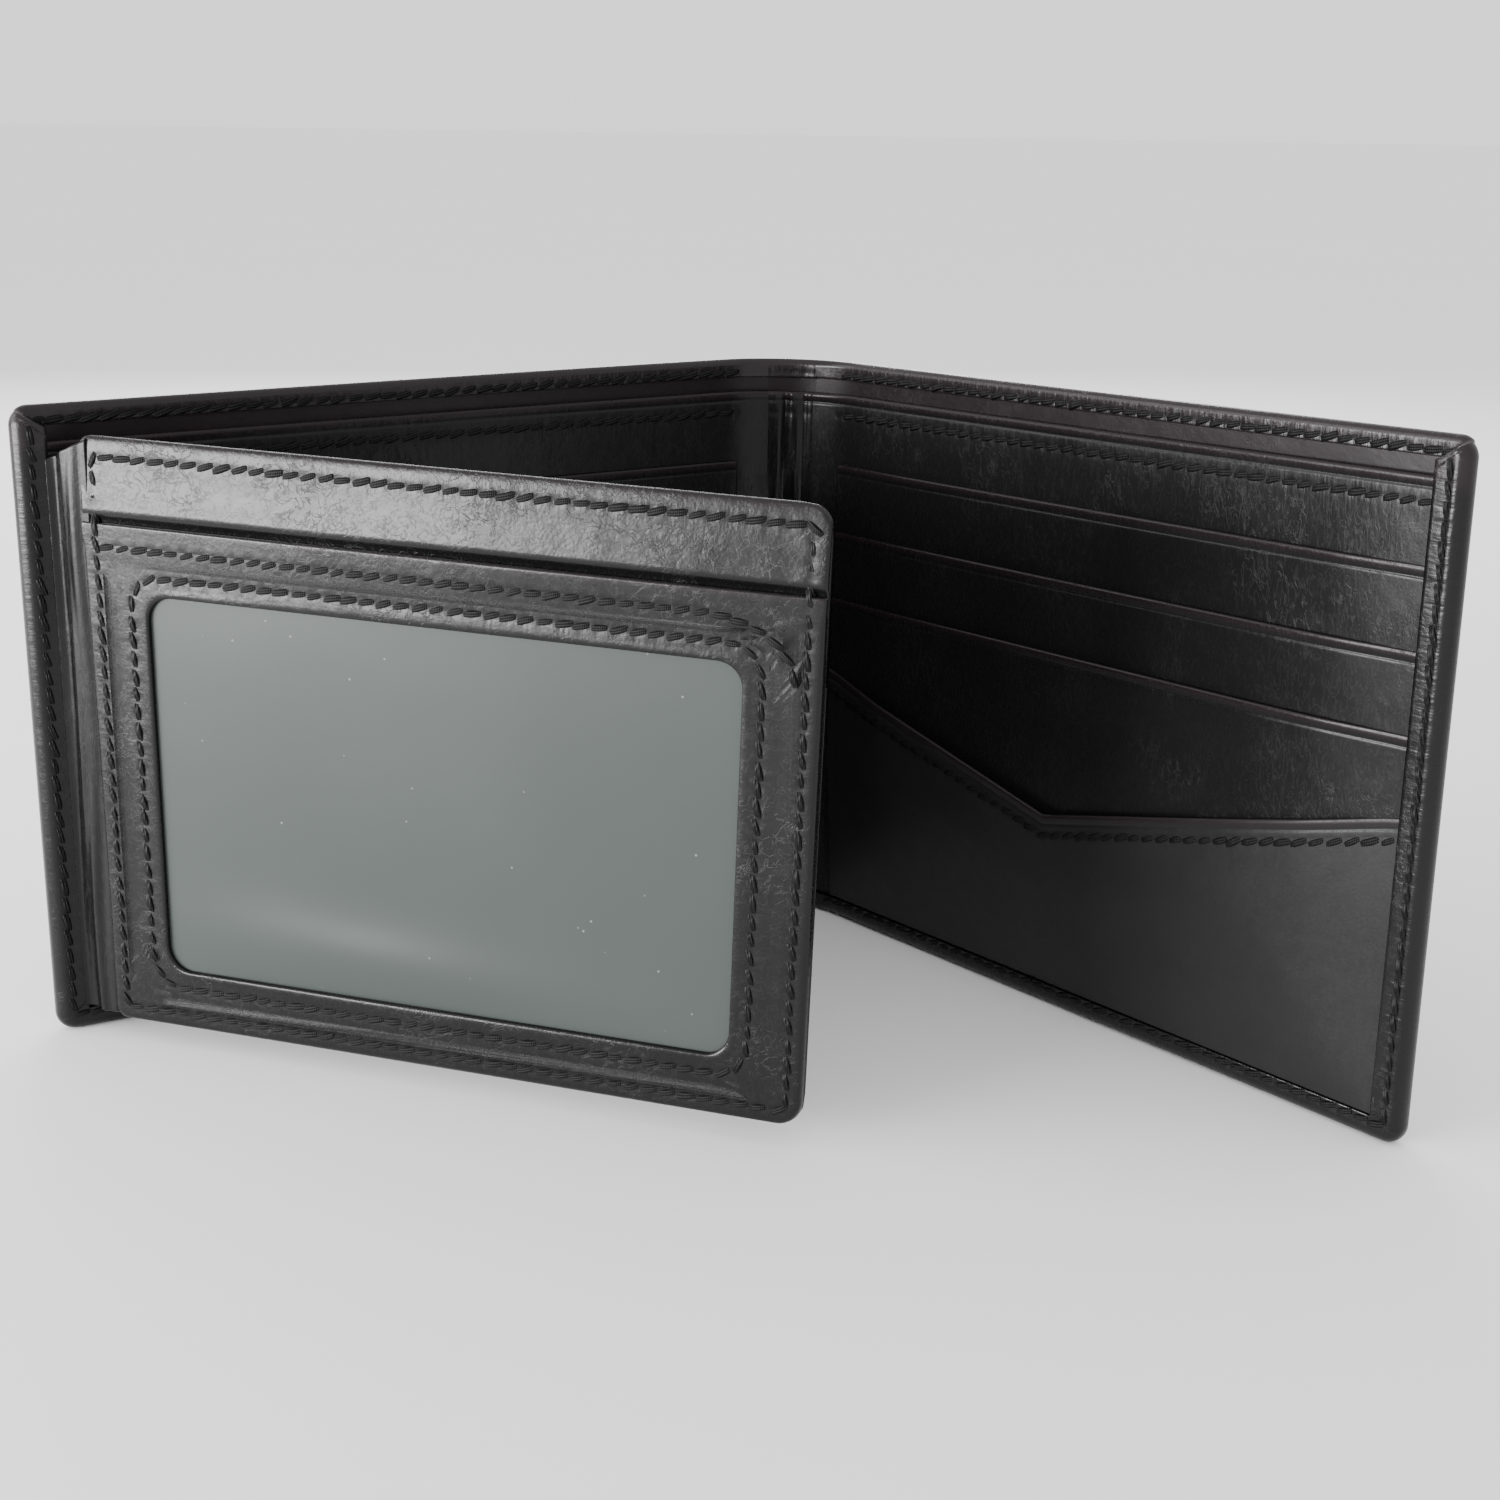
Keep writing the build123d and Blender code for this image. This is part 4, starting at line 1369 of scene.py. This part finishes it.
def rounded_loop(box: tuple[float, float, float, float], radii: tuple[float, ...],
                 side_count: int, corner_count: int) -> Array:
    """Closed loop round a rectangle with rounded corners, from the low start corner.

    Args:
        box: low x, high x, low z, high z.
        radii: at the low start, low end, high end and high start corners.
        side_count: points on each side.
        corner_count: points on each corner.

    Returns:
        The loop's points, the same number for any box.
    """
    x0, x1, z0, z1 = box
    centres = [(x0 + radii[0], z0 + radii[0]), (x1 - radii[1], z0 + radii[1]),
               (x1 - radii[2], z1 - radii[2]), (x0 + radii[3], z1 - radii[3])]
    loop = []
    for index in range(4):
        (cx, cz), radius = centres[index], radii[index]
        begin = math.pi + index * math.pi / 2
        for k in range(corner_count + 1):
            angle = begin + k / corner_count * math.pi / 2
            loop.append((cx + radius * math.cos(angle), cz + radius * math.sin(angle)))
        (nx, nz), after = centres[(index + 1) % 4], radii[(index + 1) % 4]
        last = loop[-1]
        turn = begin + math.pi / 2
        goal = (nx + after * math.cos(turn), nz + after * math.sin(turn))
        for k in range(1, side_count):
            share = k / side_count
            loop.append((last[0] + (goal[0] - last[0]) * share,
                         last[1] + (goal[1] - last[1]) * share))
    return np.array(loop)


# ------------------------------------------------------------------ studio
@dataclass(frozen=True)
class Softbox:
    """A rectangular soft light: where it hangs, where it points, its size and its watts."""

    name: str
    spot: tuple[float, float, float]
    target: tuple[float, float, float]
    size: tuple[float, float]
    power: float

    def make(self) -> None:
        """Hang the light."""
        lamp = bpy.data.lights.new(self.name, "AREA")
        lamp.shape = "RECTANGLE"
        lamp.size, lamp.size_y = self.size
        lamp.energy = self.power
        made = link(bpy.data.objects.new(self.name, lamp))
        made.location = self.spot
        aim = Vector(self.target) - Vector(self.spot)
        made.rotation_euler = aim.to_track_quat("-Z", "Y").to_euler()


@dataclass
class Studio:
    """Camera, floor and lights."""

    spot: tuple[float, float, float] = (89.04, -269.99, 119.01)
    pitch: float = 16.009
    yaw: float = -18.770
    roll_angle: float = 0.792
    lens: float = 52.017
    floor_reach: float = 40.0       # metres
    daylight: float = 1.4
    softboxes: tuple[Softbox, ...] = (
        Softbox("front_box", (-0.44, -0.49, 0.095), (-0.03, -0.03, 0.07), (0.46, 0.19), 10.5),
        Softbox("rear_box", (-0.30, 0.62, 0.34), (0.0, 0.0, 0.04), (0.50, 0.26), 3.5),
        Softbox("left_box", (-0.42, -0.14, 0.26), (0.04, 0.0, 0.05), (0.22, 0.22), 0.6))

    def _camera(self) -> None:
        """Camera where the wallet is seen from."""
        pitch, yaw, turn = (math.radians(v) for v in (self.pitch, self.yaw, self.roll_angle))
        forward = Vector((math.sin(yaw) * math.cos(pitch), math.cos(yaw) * math.cos(pitch),
                          -math.sin(pitch)))
        right = Vector((math.cos(yaw), -math.sin(yaw), 0.0))
        up = right.cross(forward)
        side = right * math.cos(turn) + up * math.sin(turn)
        top = up * math.cos(turn) - right * math.sin(turn)
        lens = bpy.data.cameras.new("camera")
        lens.lens = self.lens
        lens.sensor_width = 36.0
        lens.clip_start = 0.01
        made = link(bpy.data.objects.new("camera", lens))
        made.matrix_world = Matrix((
            (side.x, top.x, -forward.x, self.spot[0] * MM),
            (side.y, top.y, -forward.y, self.spot[1] * MM),
            (side.z, top.z, -forward.z, self.spot[2] * MM), (0, 0, 0, 1)))
        bpy.context.scene.camera = made

    def _floor(self, material: bpy.types.Material) -> None:
        """Wide plain floor."""
        work = bmesh.new()
        bmesh.ops.create_grid(work, x_segments=8, y_segments=8, size=self.floor_reach)
        mesh = bpy.data.meshes.new("floor")
        work.to_mesh(mesh)
        work.free()
        mesh.materials.append(material)
        link(bpy.data.objects.new("floor", mesh))

    def make(self, floor_material: bpy.types.Material) -> None:
        """Set the scene.

        Args:
            floor_material: finish of the floor.
        """
        self._camera()
        self._floor(floor_material)
        world = bpy.data.worlds.new("studio")
        world.use_nodes = True
        back = world.node_tree.nodes["Background"]
        back.inputs["Color"].default_value = grey(1.0)
        back.inputs["Strength"].default_value = self.daylight
        bpy.context.scene.world = world
        for box in self.softboxes:
            box.make()


def main() -> None:
    """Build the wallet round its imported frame."""
    logging.basicConfig(level=logging.INFO, format="%(message)s")
    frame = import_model()
    plan = Plan(frame["joints"])
    finishes = Finishes.make()
    sewing = Sewing(finishes.thread)
    Studio().make(FloorFinish().build())
    left = LeftHalf(plan, Side.LEFT, finishes, sewing)
    right = RightHalf(plan, Side.RIGHT, finishes, sewing)
    for half in (left, right):
        half.make_cover()
        half.make_inside()
    left.make_pockets()
    left.make_bottom_pocket()
    right.make_pockets()
    right.make_notched_pocket()
    Spine(plan, finishes, left).make()
    flap = IdFlap(plan, finishes, sewing)
    flap.make_back()
    flap.make_top_panel()
    flap.make_frame()
    flap.make_film()
    flap.sew()
    flap.make_gusset(left)


if __name__ == "__main__":
    main()
